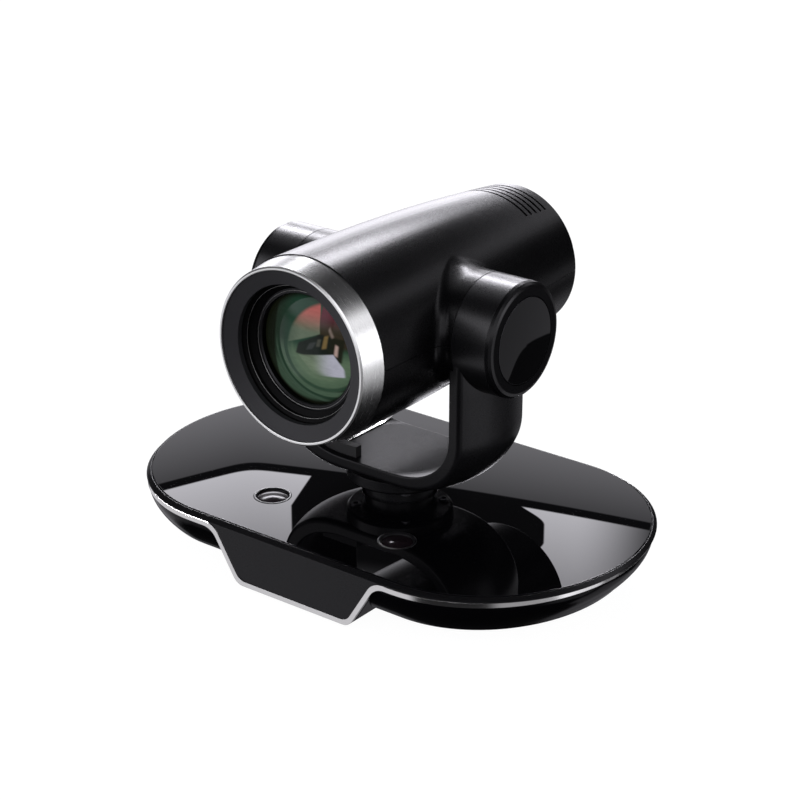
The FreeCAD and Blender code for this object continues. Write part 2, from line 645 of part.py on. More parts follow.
def band_edges(shape, inner):
    """The band's long edges on its two flat faces: the inner ones or the outer ones."""
    found = []
    core = YOKE_R - YOKE_CORNER
    for edge in shape.Edges:
        span = edge.LastParameter - edge.FirstParameter
        ends = [edge.valueAt(edge.FirstParameter + span * k) for k in (0.1, 0.5, 0.9)]
        on_face = all(abs(abs(p.y) - YOKE_HALF_DEPTH) < 0.001 for p in ends)
        on_top = all(abs(p.z - AXIS_Z) < 0.001 for p in ends)
        if not on_face or on_top:
            continue
        reach = math.hypot(ends[1].x, ends[1].y)
        height = ends[1].z - YOKE_UNDER_Z
        if height > YOKE_CORNER:
            inside = reach < YOKE_R - 1
        elif reach < core:
            inside = height > 1
        else:
            inside = math.hypot(reach - core, height - YOKE_CORNER) < YOKE_CORNER - 1
        if inside == inner:
            found.append(edge)
    return found


def yoke_frame():
    """The U-shaped casting: a band cut from a turned cup, with a round boss at the top of each arm."""
    outer = cup(YOKE_R, YOKE_CORNER, YOKE_UNDER_Z, AXIS_Z)
    inner = cup(YOKE_R - YOKE_WALL, YOKE_INNER_CORNER, YOKE_FLOOR_Z, AXIS_Z + 1)
    slab = box(-FAR, FAR, -YOKE_HALF_DEPTH, YOKE_HALF_DEPTH, 0, FAR)
    frame = outer.cut(inner).common(slab).removeSplitter()
    frame = frame.makeFillet(YOKE_OUTER_ROUND, band_edges(frame, False))
    frame = frame.makeFillet(YOKE_INNER_ROUND, band_edges(frame, True))
    frame = frame.cut(cylinder(BOSS_R + HEAD_CLEAR, V(-BOSS_IN, 0, AXIS_Z), 2 * BOSS_IN, X_AXIS))
    for side in (-1, 1):
        start = V(side * BOSS_IN, 0, AXIS_Z)
        frame = frame.fuse(cylinder(BOSS_R, start, BOSS_OUT - BOSS_IN, X_AXIS * side))
    for side in (-1, 1):
        axis = X_AXIS * side
        start = V(side * BOSS_IN, 0, AXIS_Z)
        cavity = cylinder(BOSS_R - BOSS_WALL, start + axis * BOSS_WEB, FAR, axis)
        seat = cylinder(TILT_BEARING_R + GAP, start - axis, BOSS_WEB + 2, axis)
        frame = frame.cut(cavity).cut(seat)
    return frame.removeSplitter()


def turntable():
    """Disc and neck under the yoke that turn on the base."""
    top = YOKE_UNDER_Z - GAP
    profile = [(PAN_SHAFT_R, top), (TURNTABLE_R, top), (TURNTABLE_R, TURNTABLE_Z + TURNTABLE_EDGE),
               (TURNTABLE_R - TURNTABLE_EDGE, TURNTABLE_Z), (NECK_R + NECK_ROUND, TURNTABLE_Z),
               (NECK_R, TURNTABLE_Z - NECK_ROUND), (NECK_R, NECK_Z), (PAN_SHAFT_R, NECK_Z)]
    return turned(profile, V(0, 0, 0), Z_AXIS, X_AXIS)


def pan_shaft():
    return tube(PAN_SHAFT_R, PAN_SHAFT_BORE, V(0, 0, PAN_SHAFT_Z), YOKE_UNDER_Z - GAP - PAN_SHAFT_Z, Z_AXIS)


def pan_gear():
    return gear(PAN_GEAR_TEETH, PAN_MODULE, PAN_GEAR_WIDTH, PAN_SHAFT_R, V(0, 0, PAN_GEAR_Z),
                Z_AXIS, -Y_AXIS, 0)


def boss_cover(side):
    """End cover of a boss, with a rounded rim and a recess for the cap disc."""
    centre, low = V(0, 0, AXIS_Z), BOSS_OUT + GAP
    steps = 3
    profile = [(0, low), (BOSS_R, low)]
    for i in range(steps + 1):
        a = math.pi / 2 * i / steps
        profile.append((BOSS_R - COVER_ROUND + COVER_ROUND * math.cos(a),
                        COVER_OUT - COVER_ROUND + COVER_ROUND * math.sin(a)))
    recess_r, floor = CAP_R + CAP_GROOVE, COVER_OUT - COVER_RECESS
    profile += [(recess_r, COVER_OUT), (recess_r, floor), (0, floor)]
    return turned(profile, centre, X_AXIS * side, Z_AXIS)


def boss_cap(side):
    """Slightly domed gloss disc in the middle of a boss cover."""
    dome_r = (CAP_R ** 2 + CAP_DOME ** 2) / 2 / CAP_DOME
    start = V(side * (COVER_OUT - COVER_RECESS + GAP), 0, AXIS_Z)
    disc = cylinder(CAP_R, start, COVER_RECESS + CAP_DOME, X_AXIS * side)
    ball = Part.makeSphere(dome_r, V(side * (COVER_OUT + CAP_DOME - dome_r), 0, AXIS_Z))
    return disc.common(ball)


def tilt_bearing(side):
    start = V(side * (BOSS_IN + TILT_BEARING_IN), 0, AXIS_Z)
    return tube(TILT_BEARING_R, TRUNNION_R + RUNNING, start, TILT_BEARING_LENGTH, X_AXIS * side)


TILT_PINION_PLACE = V(0, 0, AXIS_Z - TILT_MODULE * (TILT_GEAR_TEETH + TILT_PINION_TEETH) / 2)


def tilt_motor():
    centre = TILT_PINION_PLACE + X_AXIS * TILT_MOTOR_X
    body = cylinder(TILT_MOTOR_R, centre, BOSS_OUT - TILT_MOTOR_X, X_AXIS)
    return body.cut(cylinder(TILT_SPINDLE_R + RUNNING, centre, TILT_MOTOR_BORE, X_AXIS))


def tilt_pinion():
    start = TILT_PINION_PLACE + X_AXIS * (TILT_GEAR_X - PINION_EXTRA)
    wheel = gear(TILT_PINION_TEETH, TILT_MODULE, TILT_GEAR_WIDTH + 2 * PINION_EXTRA, 0, start,
                 X_AXIS, Z_AXIS, math.pi / TILT_PINION_TEETH)
    shaft = cylinder(TILT_SPINDLE_R, start, TILT_SPINDLE_LENGTH, X_AXIS)
    return wheel.fuse(shaft).removeSplitter()


def tilt_board():
    """Round board in the left boss, with a hole that clears the trunnion."""
    return tube(BOSS_R - BOSS_WALL - GAP, TRUNNION_R + TILT_BOARD_HOLE, V(TILT_BOARD_X, 0, AXIS_Z),
                TILT_BOARD_THICK, X_AXIS)


def floor_space(height):
    """The space inside the yoke from height above its floor, kept the same distance off its walls."""
    return cup(YOKE_R - YOKE_WALL - height, YOKE_INNER_CORNER - height, YOKE_FLOOR_Z + height, AXIS_Z)


def tilt_stop():
    """Low rubber bar at the front of the yoke floor that limits the tilt."""
    bar = box(*STOP_X, *STOP_Y, YOKE_UNDER_Z, YOKE_FLOOR_Z + STOP_HIGH)
    return bar.common(floor_space(GAP))


def floor_trim():
    """Thin bright strip laid on the yoke floor."""
    strip = box(*STRIP_X, *STRIP_Y, YOKE_UNDER_Z, AXIS_Z)
    return strip.common(floor_space(GAP)).cut(floor_space(GAP + STRIP_THICK))


def yoke_screws():
    """Heads of the four screws that hold the yoke to the turntable, under its rim."""
    heads = []
    for quarter in range(4):
        a = math.pi / 4 + math.pi / 2 * quarter
        place = V(YOKE_SCREW_PLACE_R * math.cos(a), YOKE_SCREW_PLACE_R * math.sin(a),
                  TURNTABLE_Z - GAP - YOKE_SCREW_HIGH)
        head = cylinder(YOKE_SCREW_R, place, YOKE_SCREW_HIGH, Z_AXIS)
        heads.append(head.cut(cylinder(YOKE_SOCKET_R, place, YOKE_SOCKET_DEEP, Z_AXIS)))
    return Part.makeCompound(heads)


# ---------------------------------------------------------------- head
def barrel(shrink):
    """The head's turned body, from the lens ring to the rear, made smaller by shrink on every side."""
    axis_point = V(0, 0, AXIS_Z)

    def at(r, y):
        return V(0, y, AXIS_Z + r - shrink)

    rear = BARREL_REAR_Y - shrink
    edge = BARREL_EDGE
    half = math.sqrt(0.5)
    start = V(0, RING_BACK_Y + shrink, AXIS_Z)
    stop = V(0, rear, AXIS_Z)
    front_top = V(0, RING_BACK_Y + shrink, AXIS_Z + BARREL_R - shrink)
    taper = at(BARREL_R, BARREL_STRAIGHT_Y)
    middle = at(BARREL_MID_R, (BARREL_STRAIGHT_Y + BARREL_REAR_Y) / 2)
    rim = V(0, rear - edge, AXIS_Z + BARREL_REAR_R - shrink)
    turn = V(0, rear - edge + edge * half, AXIS_Z + BARREL_REAR_R - shrink - edge + edge * half)
    face = V(0, rear, AXIS_Z + BARREL_REAR_R - shrink - edge)
    edges = [Part.LineSegment(start, front_top).toShape(), Part.LineSegment(front_top, taper).toShape(),
             Part.Arc(taper, middle, rim).toShape(), Part.Arc(rim, turn, face).toShape(),
             Part.LineSegment(face, stop).toShape(), Part.LineSegment(stop, start).toShape()]
    return Part.Face(Part.Wire(edges)).revolve(axis_point, Y_AXIS, 360)


def stub(side, shrink):
    """Trunnion stub that widens in a concave curve towards the barrel."""
    radius = STUB_R - shrink
    flare = FLARE_R + shrink
    centre_x = FLARE_X
    foot_x = FLARE_X - FLARE_REACH
    drop = math.sqrt(flare ** 2 - FLARE_REACH ** 2)
    half = FLARE_REACH / 2

    def at(x, r):
        return V(side * x, 0, AXIS_Z + r)

    tip, start = at(STUB_X - shrink, radius), at(centre_x, radius)
    middle = at(centre_x - half, radius + flare - math.sqrt(flare ** 2 - half ** 2))
    foot = at(foot_x, radius + flare - drop)
    edges = [Part.LineSegment(at(STUB_X - shrink, 0), tip).toShape(), Part.LineSegment(tip, start).toShape(),
             Part.Arc(start, middle, foot).toShape(), Part.LineSegment(foot, at(foot_x, 0)).toShape(),
             Part.LineSegment(at(foot_x, 0), at(STUB_X - shrink, 0)).toShape()]
    return Part.Face(Part.Wire(edges)).revolve(V(0, 0, AXIS_Z), X_AXIS, 360)


def head_form(shrink):
    """Barrel with a flared trunnion stub on each side."""
    return barrel(shrink).multiFuse([stub(1, shrink), stub(-1, shrink)]).removeSplitter()


def stub_edges(shape):
    """The edges where the stubs meet the barrel."""
    found = []
    for edge in shape.Edges:
        span = edge.LastParameter - edge.FirstParameter
        points = [edge.valueAt(edge.FirstParameter + span * (k + 0.5) / 5) for k in range(5)]
        near_stub = all(math.hypot(p.y, p.z - AXIS_Z) < STUB_R + 12 for p in points)
        on_barrel = all(abs(math.hypot(p.x, p.z - AXIS_Z) - BARREL_R) < 0.6 for p in points)
        if near_stub and on_barrel:
            found.append(edge)
    return found


def head_shell_solid():
    """Both head shells as one hollow body, before it is split along the seam."""
    form = head_form(0)
    form = form.makeFillet(STUB_FILLET, stub_edges(form))
    shell = form.cut(head_form(SHELL_WALL))
    rib = box(-RIB_HALF_X, RIB_HALF_X, *RIB_Y, AXIS_Z - BARREL_REAR_R - 1, AXIS_Z - RIB_TOP - GAP)
    shell = shell.fuse(rib)
    shell = shell.cut(cylinder(RING_IN_R, V(0, RING_BACK_Y - 1, AXIS_Z), RING_SEAT, Y_AXIS))
    shell = shell.cut(cylinder(TRUNNION_R, V(-FAR, 0, AXIS_Z), 2 * FAR, X_AXIS))
    rear_seat = V(0, BARREL_REAR_Y - REAR_COVER_SEAT, AXIS_Z)
    shell = shell.cut(cylinder(REAR_COVER_R + GAP, rear_seat, FAR, Y_AXIS))
    grooves = [vent_groove(y) for y in VENT_Y]
    return shell.cut(grooves[0].multiFuse(grooves[1:]))


def barrel_radius(y):
    """The barrel's outside radius behind the trunnions, close enough to place a shallow cut."""
    share = (y - BARREL_STRAIGHT_Y) / (BARREL_REAR_Y - BARREL_STRAIGHT_Y)
    return BARREL_R - (BARREL_R - BARREL_REAR_R) * share ** 2


def vent_groove(y):
    """A thin slot round the top of the barrel, VENT_HALF_ANGLE to each side of the crown."""
    start = V(0, y - VENT_WIDTH / 2, AXIS_Z)
    ring = tube(BARREL_R + 1, barrel_radius(y) - VENT_DEPTH, start, VENT_WIDTH, Y_AXIS)
    a = math.radians(VENT_HALF_ANGLE)
    reach = 2 * BARREL_R
    corners = [start, start + V(reach * math.sin(a), 0, reach * math.cos(a)),
               start + V(-reach * math.sin(a), 0, reach * math.cos(a))]
    return ring.common(Part.Face(polygon(corners)).extrude(Y_AXIS * VENT_WIDTH))


def around_lens(profile):
    """A solid turned about the optical axis. profile is [(radius, y)]."""
    return turned(profile, V(0, 0, AXIS_Z), Y_AXIS, Z_AXIS)


def head_rear_cover():
    """Round cover in the rear of the head with rows of slots."""
    back = BARREL_REAR_Y - 4 * GAP
    front = back - REAR_COVER_THICK
    cover = around_lens([(0, front), (REAR_COVER_R, front), (REAR_COVER_R, back - REAR_COVER_EDGE),
                         (REAR_COVER_R - REAR_COVER_EDGE, back), (0, back)])
    for z in REAR_SLOT_ROWS:
        half = math.sqrt(REAR_SLOT_REACH ** 2 - z ** 2)
        cover = cover.cut(box(-half, half, front - 1, back + 1, AXIS_Z + z - REAR_SLOT_HALF,
                              AXIS_Z + z + REAR_SLOT_HALF))
    return cover


def lens_ring():
    """Brushed metal ring round the front of the head, with a polished front chamfer."""
    back = RING_BACK_Y - GAP
    return around_lens([(RING_IN_R, RING_FRONT_Y + 2 * GAP), (RING_IN_R + SEAM, RING_FRONT_Y),
                        (RING_FRONT_R - RING_CHAMFER, RING_FRONT_Y),
                        (RING_FRONT_R, RING_FRONT_Y + RING_CHAMFER),
                        (RING_BACK_R, back), (RING_IN_R, back)])


def front_bezel():
    """Flat dark ring between the metal ring and the lens bore."""
    outer, inner, lip = RING_IN_R - GAP, BORE_R + BEZEL_WALL, BORE_Y + BORE_LIP
    return around_lens([(BORE_R, BORE_Y), (outer, RING_FRONT_Y + BEZEL_SET_BACK), (outer, BEZEL_BACK_Y),
                        (inner, BEZEL_BACK_Y), (inner, lip), (BORE_R, lip)])


def lens_hood():
    """Blackened tube between the bezel and the front lens, narrowing in one step."""
    step_y, face_y, step_back_y, seat_y, rear_y = HOOD_Y
    outer, seat_r, mouth = BORE_R + HOOD_WALL, LENS_R + RETAINER_OUT + 2 * GAP, BORE_Y + BORE_LIP + GAP
    return around_lens([(BORE_R, mouth), (outer, mouth), (outer, rear_y), (seat_r, rear_y), (seat_r, seat_y),
                        (HOOD_STEP_R, step_back_y), (HOOD_STEP_R, face_y), (BORE_R, step_y)])


def lens_retainer():
    """Thin ring that holds the front lens."""
    front, lip, lip_back, rear = RETAINER_Y
    return around_lens([(LENS_R - RETAINER_LIP, lip), (LENS_R - SEAM, front), (LENS_R + RETAINER_OUT, front),
                        (LENS_R + RETAINER_OUT, rear), (LENS_R + GAP, rear), (LENS_R + GAP, lip_back),
                        (LENS_R - RETAINER_LIP, lip_back)])


def meniscus(radius, edge_y, thickness, front_rise, hollow):
    """A lens with a convex front that rises by front_rise, and a rear hollowed by hollow."""
    front_ball_r = (radius ** 2 + front_rise ** 2) / 2 / front_rise
    body = cylinder(radius, V(0, edge_y - front_rise, AXIS_Z), front_rise + thickness, Y_AXIS)
    glass = body.common(Part.makeSphere(front_ball_r, V(0, edge_y - front_rise + front_ball_r, AXIS_Z)))
    if hollow == 0:
        return glass
    back_ball_r = (radius ** 2 + hollow ** 2) / 2 / hollow
    return glass.cut(Part.makeSphere(back_ball_r, V(0, edge_y + thickness - hollow + back_ball_r, AXIS_Z)))


def front_lens():
    return meniscus(LENS_R, LENS_EDGE_Y, LENS_THICK, LENS_DOME, LENS_HOLLOW)


def optic_tube():
    """Lens barrel: carries the front group, the guide rods and the moving cells."""
    front = HOOD_Y[-1] + GAP
    inner, outer = CELL_R + CELL_CLEAR, CELL_R + CELL_CLEAR + OPTIC_WALL
    return around_lens([(inner, front), (OPTIC_R, front), (OPTIC_R, front + OPTIC_FLANGE),
                        (outer, front + OPTIC_CONE), (outer, OPTIC_BACK_Y), (inner, OPTIC_BACK_Y)])


ROD_PLACES = [V(ROD_OFFSET, 0, 0), V(-ROD_OFFSET, 0, 0)]


def guide_rods():
    length = OPTIC_BACK_Y - ROD_FRONT_Y
    return Part.makeCompound([cylinder(ROD_R, V(place.x, ROD_FRONT_Y, AXIS_Z), length, Y_AXIS)
                              for place in ROD_PLACES])


def lens_cell(y):
    """Round carrier for a moving lens group, bored for the two guide rods."""
    cell = tube(CELL_R, CELL_BORE, V(0, y, AXIS_Z), CELL_LENGTH, Y_AXIS)
    for place in ROD_PLACES:
        cell = cell.cut(cylinder(ROD_R + RUNNING, V(place.x, y - 1, AXIS_Z), CELL_LENGTH + 2, Y_AXIS))
    return cell


def group_lens(y):
    return meniscus(CELL_BORE - GAP, y + GROUP_SEAT, GROUP_THICK, GROUP_DOME, 0)


def upright_plate(half_x, half_z, y, thick):
    """A flat rectangular piece across the optical axis."""
    return box(-half_x, half_x, y, y + thick, AXIS_Z - half_z, AXIS_Z + half_z)


def sensor_block():
    """Rear closure of the lens barrel, with the image sensor's seat."""
    front = OPTIC_BACK_Y + GAP
    disc = cylinder(CELL_R + CELL_CLEAR + OPTIC_WALL, V(0, front, AXIS_Z), BLOCK_THICK, Y_AXIS)
    return disc.cut(upright_plate(BLOCK_HALF_X, BLOCK_HALF_Z, front - 1, BLOCK_THICK + 2))


SENSOR_BOARD_Y = OPTIC_BACK_Y + BLOCK_THICK + 3 * GAP


def image_sensor():
    return upright_plate(SENSOR_HALF_X, SENSOR_HALF_Z, SENSOR_BOARD_Y - GAP - SENSOR_THICK, SENSOR_THICK)


def sensor_board():
    return upright_plate(SENSOR_BOARD_HALF, SENSOR_BOARD_HALF, SENSOR_BOARD_Y, BOARD_THICK)


def head_board():
    """Video board with two chips, given as (x, z from the axis, half size, thickness)."""
    pieces = [upright_plate(HEAD_BOARD_HALF, HEAD_BOARD_HALF, HEAD_BOARD_Y, BOARD_THICK)]
    for x, z, half, thick in ((-3, 1, 7, 1.4), (12, -10, 4, 1.2)):
        pieces.append(box(x - half, x + half, HEAD_BOARD_Y - thick, HEAD_BOARD_Y, AXIS_Z + z - half,
                          AXIS_Z + z + half))
    return fused(pieces)


def trunnion(side):
    """Hollow stub axle with a flange behind the head shell."""
    axis = X_AXIS * side
    start = V(side * TRUNNION_START, 0, AXIS_Z)
    flange_start = V(side * (STUB_X - SHELL_WALL - GAP - FLANGE_THICK), 0, AXIS_Z)
    axle = cylinder(TRUNNION_R, start, TRUNNION_LENGTH, axis)
    solid = axle.fuse(cylinder(FLANGE_R, flange_start, FLANGE_THICK, axis)).removeSplitter()
    return solid.cut(cylinder(TRUNNION_BORE, start, TRUNNION_LENGTH, axis))


def tilt_gear():
    return gear(TILT_GEAR_TEETH, TILT_MODULE, TILT_GEAR_WIDTH, TRUNNION_R,
                V(TILT_GEAR_X, 0, AXIS_Z), X_AXIS, -Z_AXIS, 0)


def main():
    os.makedirs("parts", exist_ok=True)
    shell = head_shell_solid()
    lower = box(-FAR, FAR, -FAR, FAR, -FAR, AXIS_Z - SEAM / 2)
    upper = box(-FAR, FAR, -FAR, FAR, AXIS_Z + SEAM / 2, AXIS_Z + FAR)
    parts = {
        "base_top_plate": base_top_plate(),
        "base_upper_shell": base_upper_shell(),
        "base_trim_strip": base_trim_strip(),
        "base_lower_shell": base_lower_shell(),
        "base_bottom_plate": bottom_plate(),
        "tripod_insert": tripod_insert(),
        "rubber_feet": rubber_feet(),
        "base_screws": base_screws(),
        "window_ring_left": window_ring(WINDOW_LEFT),
        "window_ring_right": window_ring(WINDOW_RIGHT),
        "window_lens_left": window_lens(WINDOW_LEFT),
        "window_lens_right": window_lens(WINDOW_RIGHT),
        "chassis_plate": chassis_plate(),
        "pan_bearing": pan_bearing(),
        "pan_thrust_washer": thrust_washer(),
        "pan_motor": pan_motor(),
        "pan_pinion": pan_pinion(),
        "main_board": main_board(),
        "rear_panel": rear_panel(),
        "dc_jack": round_socket(JACK_X, JACK_BODY, JACK_R, JACK_DEPTH),
        "control_socket": round_socket(CONTROL_X, CONTROL_BODY, CONTROL_R, CONTROL_DEPTH),
        "network_socket": network_socket(),
        "video_socket": video_socket(),
        "yoke_frame": yoke_frame(),
        "turntable": turntable(),
        "pan_shaft": pan_shaft(),
        "pan_gear": pan_gear(),
        "boss_cover_right": boss_cover(1),
        "boss_cover_left": boss_cover(-1),
        "boss_cap_right": boss_cap(1),
        "boss_cap_left": boss_cap(-1),
        "tilt_bearing_right": tilt_bearing(1),
        "tilt_bearing_left": tilt_bearing(-1),
        "tilt_motor": tilt_motor(),
        "tilt_pinion": tilt_pinion(),
        "tilt_board": tilt_board(),
        "tilt_stop": tilt_stop(),
        "yoke_floor_trim": floor_trim(),
        "yoke_screws": yoke_screws(),
        "head_upper_shell": shell.common(upper),
        "head_lower_shell": shell.common(lower),
        "head_rear_cover": head_rear_cover(),
        "lens_ring": lens_ring(),
        "front_bezel": front_bezel(),
        "lens_hood": lens_hood(),
        "lens_retainer": lens_retainer(),
        "front_lens": front_lens(),
        "optic_tube": optic_tube(),
        "guide_rods": guide_rods(),
        "zoom_cell": lens_cell(ZOOM_Y),
        "zoom_lens": group_lens(ZOOM_Y),
        "focus_cell": lens_cell(FOCUS_Y),
        "focus_lens": group_lens(FOCUS_Y),
        "sensor_block": sensor_block(),
        "image_sensor": image_sensor(),
        "sensor_board": sensor_board(),
        "head_board": head_board(),
        "trunnion_right": trunnion(1),
        "trunnion_left": trunnion(-1),
        "tilt_gear": tilt_gear(),
    }
    for name, shape in parts.items():
        save(name, shape)
        print(f"{name:22s} solids {len(shape.Solids)}  volume {shape.Volume:9.1f}  valid {shape.isValid()}")
    print(len(parts), "nodes")


main()
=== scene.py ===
import bpy
import json
import math
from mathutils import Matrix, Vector


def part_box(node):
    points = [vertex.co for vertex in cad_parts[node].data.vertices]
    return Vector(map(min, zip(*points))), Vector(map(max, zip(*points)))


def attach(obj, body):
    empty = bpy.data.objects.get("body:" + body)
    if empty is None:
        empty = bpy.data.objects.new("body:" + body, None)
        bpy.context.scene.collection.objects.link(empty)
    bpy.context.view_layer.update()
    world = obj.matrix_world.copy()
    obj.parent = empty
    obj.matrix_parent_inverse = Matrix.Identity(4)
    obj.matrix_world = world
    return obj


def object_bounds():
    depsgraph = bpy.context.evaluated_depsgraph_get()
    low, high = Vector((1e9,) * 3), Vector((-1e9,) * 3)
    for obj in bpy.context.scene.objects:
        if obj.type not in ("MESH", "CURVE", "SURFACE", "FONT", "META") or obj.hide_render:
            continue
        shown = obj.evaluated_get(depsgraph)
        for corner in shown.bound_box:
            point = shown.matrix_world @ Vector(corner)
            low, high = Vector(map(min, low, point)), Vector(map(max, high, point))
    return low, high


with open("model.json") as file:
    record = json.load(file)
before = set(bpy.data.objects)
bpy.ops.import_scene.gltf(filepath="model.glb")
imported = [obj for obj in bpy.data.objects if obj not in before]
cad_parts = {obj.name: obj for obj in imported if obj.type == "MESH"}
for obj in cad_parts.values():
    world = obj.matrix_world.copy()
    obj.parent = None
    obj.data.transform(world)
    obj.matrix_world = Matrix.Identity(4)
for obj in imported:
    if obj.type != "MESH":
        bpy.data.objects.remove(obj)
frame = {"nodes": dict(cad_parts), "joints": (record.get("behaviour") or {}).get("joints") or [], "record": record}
CAD_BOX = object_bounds()
NODES = frame["nodes"]
scene = bpy.context.scene

# Places taken from the frame, in metres
MM = 0.001
TILT_Z = next(joint["pos_m"][2] for joint in frame["joints"] if joint["name"] == "tilt")
RING_FRONT_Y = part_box("lens_ring")[0].y
COVER_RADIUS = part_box("boss_cover_right")[1].y
YOKE_LOW_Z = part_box("yoke_frame")[0].z


# ---------------------------------------------------------------- node expressions
class Nodes:
    """Writes a node tree from short expressions."""

    def __init__(self, tree, coords):
        self.tree = tree
        self.tree.nodes.clear()
        self.coords = self.tree.nodes.new("ShaderNodeTexCoord").outputs[coords]

    def link(self, value, socket):
        """Joins a socket, or sets a plain value."""
        if isinstance(value, bpy.types.NodeSocket):
            self.tree.links.new(value, socket)
        else:
            socket.default_value = value

    def math(self, operation, *values):
        node = self.tree.nodes.new("ShaderNodeMath")
        node.operation = operation
        for value, socket in zip(values, node.inputs):
            self.link(value, socket)
        return node.outputs[0]

    def add(self, a, b):
        return self.math("ADD", a, b)

    def sub(self, a, b):
        return self.math("SUBTRACT", a, b)

    def mul(self, a, b):
        return self.math("MULTIPLY", a, b)

    def total(self, *values):
        result = values[0]
        for value in values[1:]:
            result = self.add(result, value)
        return result

    def product(self, *values):
        result = values[0]
        for value in values[1:]:
            result = self.mul(result, value)
        return result

    def length(self, a, b):
        return self.math("SQRT", self.add(self.mul(a, a), self.mul(b, b)))

    def step(self, value, low, high):
        """0 below low, 1 above high, smooth between; high under low turns it round."""
        node = self.tree.nodes.new("ShaderNodeMapRange")
        node.interpolation_type = "SMOOTHSTEP"
        self.link(value, node.inputs["Value"])
        if high >= low:
            limits, ends = (low, high), (0.0, 1.0)
        else:
            limits, ends = (high, low), (1.0, 0.0)
        node.inputs["From Min"].default_value, node.inputs["From Max"].default_value = limits
        node.inputs["To Min"].default_value, node.inputs["To Max"].default_value = ends
        return node.outputs["Result"]

    def ramp(self, value, start, end, first, last):
        """A straight ramp from first at start to last at end, level outside."""
        node = self.tree.nodes.new("ShaderNodeMapRange")
        self.link(value, node.inputs["Value"])
        if start > end:
            start, end, first, last = end, start, last, first
        node.inputs["From Min"].default_value, node.inputs["From Max"].default_value = start, end
        node.inputs["To Min"].default_value, node.inputs["To Max"].default_value = first, last
        return node.outputs["Result"]

    def remap(self, value, low, high):
        """Takes 0 to 1 over to low to high."""
        return self.ramp(value, 0.0, 1.0, low, high)

    def band(self, value, centre, half, soft):
        """1 within half of centre, falling to 0 over soft."""
        away = self.math("ABSOLUTE", self.sub(value, centre))
        return self.step(away, half + soft, half)

    def window(self, value, low, high, soft):
        """1 between low and high, 0 outside, over soft on each side."""
        return self.mul(self.step(value, low - soft, low + soft),
                        self.step(value, high + soft, high - soft))

    def mix(self, mask, a, b):
        """Colour a where the mask is 0, colour b where it is 1."""
        node = self.tree.nodes.new("ShaderNodeMix")
        node.data_type = "RGBA"
        self.link(mask, node.inputs["Factor"])
        for value, socket in ((a, node.inputs[6]), (b, node.inputs[7])):
            self.link(opaque(value), socket)
        return node.outputs[2]

    def scaled(self, scale, source=None):
        node = self.tree.nodes.new("ShaderNodeMapping")
        self.link(source or self.coords, node.inputs["Vector"])
        node.inputs["Scale"].default_value = scale
        return node.outputs["Vector"]

    def noise(self, scale, detail=3.0, rough=0.5, vector=None):
        node = self.tree.nodes.new("ShaderNodeTexNoise")
        self.link(vector or self.coords, node.inputs["Vector"])
        node.inputs["Scale"].default_value = scale
        node.inputs["Detail"].default_value = detail
        node.inputs["Roughness"].default_value = rough
        return node.outputs["Fac"]

    def parts(self, vector=None):
        """The x, y and z of a vector, or of the place itself."""
        node = self.tree.nodes.new("ShaderNodeSeparateXYZ")
        self.link(vector or self.coords, node.inputs[0])
        return node.outputs

    def joined(self, *values):
        node = self.tree.nodes.new("ShaderNodeCombineXYZ")
        for value, socket in zip(values, node.inputs):
            self.link(value, socket)
        return node.outputs[0]


class Graph(Nodes):
    """A material."""

    def __init__(self, name):
        self.material = bpy.data.materials.new(name)
        self.material.use_nodes = True
        super().__init__(self.material.node_tree, "Object")
        self.out = self.tree.nodes.new("ShaderNodeOutputMaterial")

    def normal(self):
        return self.tree.nodes.new("ShaderNodeNewGeometry").outputs["Normal"]

    def edge(self, radius):
        """1 on edges sharper than radius, 0 on open faces; and the rounded normal."""
        bevel = self.tree.nodes.new("ShaderNodeBevel")
        bevel.samples = 4
        bevel.inputs["Radius"].default_value = radius
        dot = self.tree.nodes.new("ShaderNodeVectorMath")
        dot.operation = "DOT_PRODUCT"
        self.link(bevel.outputs[0], dot.inputs[0])
        self.link(self.normal(), dot.inputs[1])
        return self.step(dot.outputs["Value"], 0.97, 0.7), bevel.outputs[0]

    def bump(self, height, strength, distance, normal=None):
        node = self.tree.nodes.new("ShaderNodeBump")
        node.inputs["Strength"].default_value = strength
        node.inputs["Distance"].default_value = distance
        self.link(height, node.inputs["Height"])
        if normal is not None:
            self.link(normal, node.inputs["Normal"])
        return node.outputs["Normal"]

    def surface(self, colour, rough, normal=None, **settings):
        """The material's shader. Settings are its inputs, written with underscores."""
        shader = self.tree.nodes.new("ShaderNodeBsdfPrincipled")
        self.link(opaque(colour), shader.inputs["Base Color"])
        self.link(rough, shader.inputs["Roughness"])
        if normal is not None:
            self.link(normal, shader.inputs["Normal"])
        for key, value in settings.items():
            self.link(value, shader.inputs[key.replace("_", " ")])
        self.tree.links.new(shader.outputs[0], self.out.inputs["Surface"])
        self.shader = shader


def opaque(colour):
    """A three-part colour with its alpha; anything else as it is."""
    if isinstance(colour, tuple) and len(colour) == 3:
        return colour + (1.0,)
    return colour


def tone(colour, factor):
    return tuple(min(1.0, part * factor) for part in colour)


# ---------------------------------------------------------------- plastics
FINE_GRAIN = 2600.0           # cells of moulded grain per metre
BEZEL_GRAIN = 3200.0
PATCHES = 38.0                # patches of uneven gloss per metre
GRAIN_HEIGHT = 0.04 * MM
PATCH_TONES = 0.82, 1.2       # darkest and palest patch, as parts of the colour
LEVEL = 0.90, 0.99            # a face counts as level between these heights of its normal


def patchy(g, patches, colour):
    darkest, palest = PATCH_TONES
    return g.mix(patches, tone(colour, darkest), tone(colour, palest))


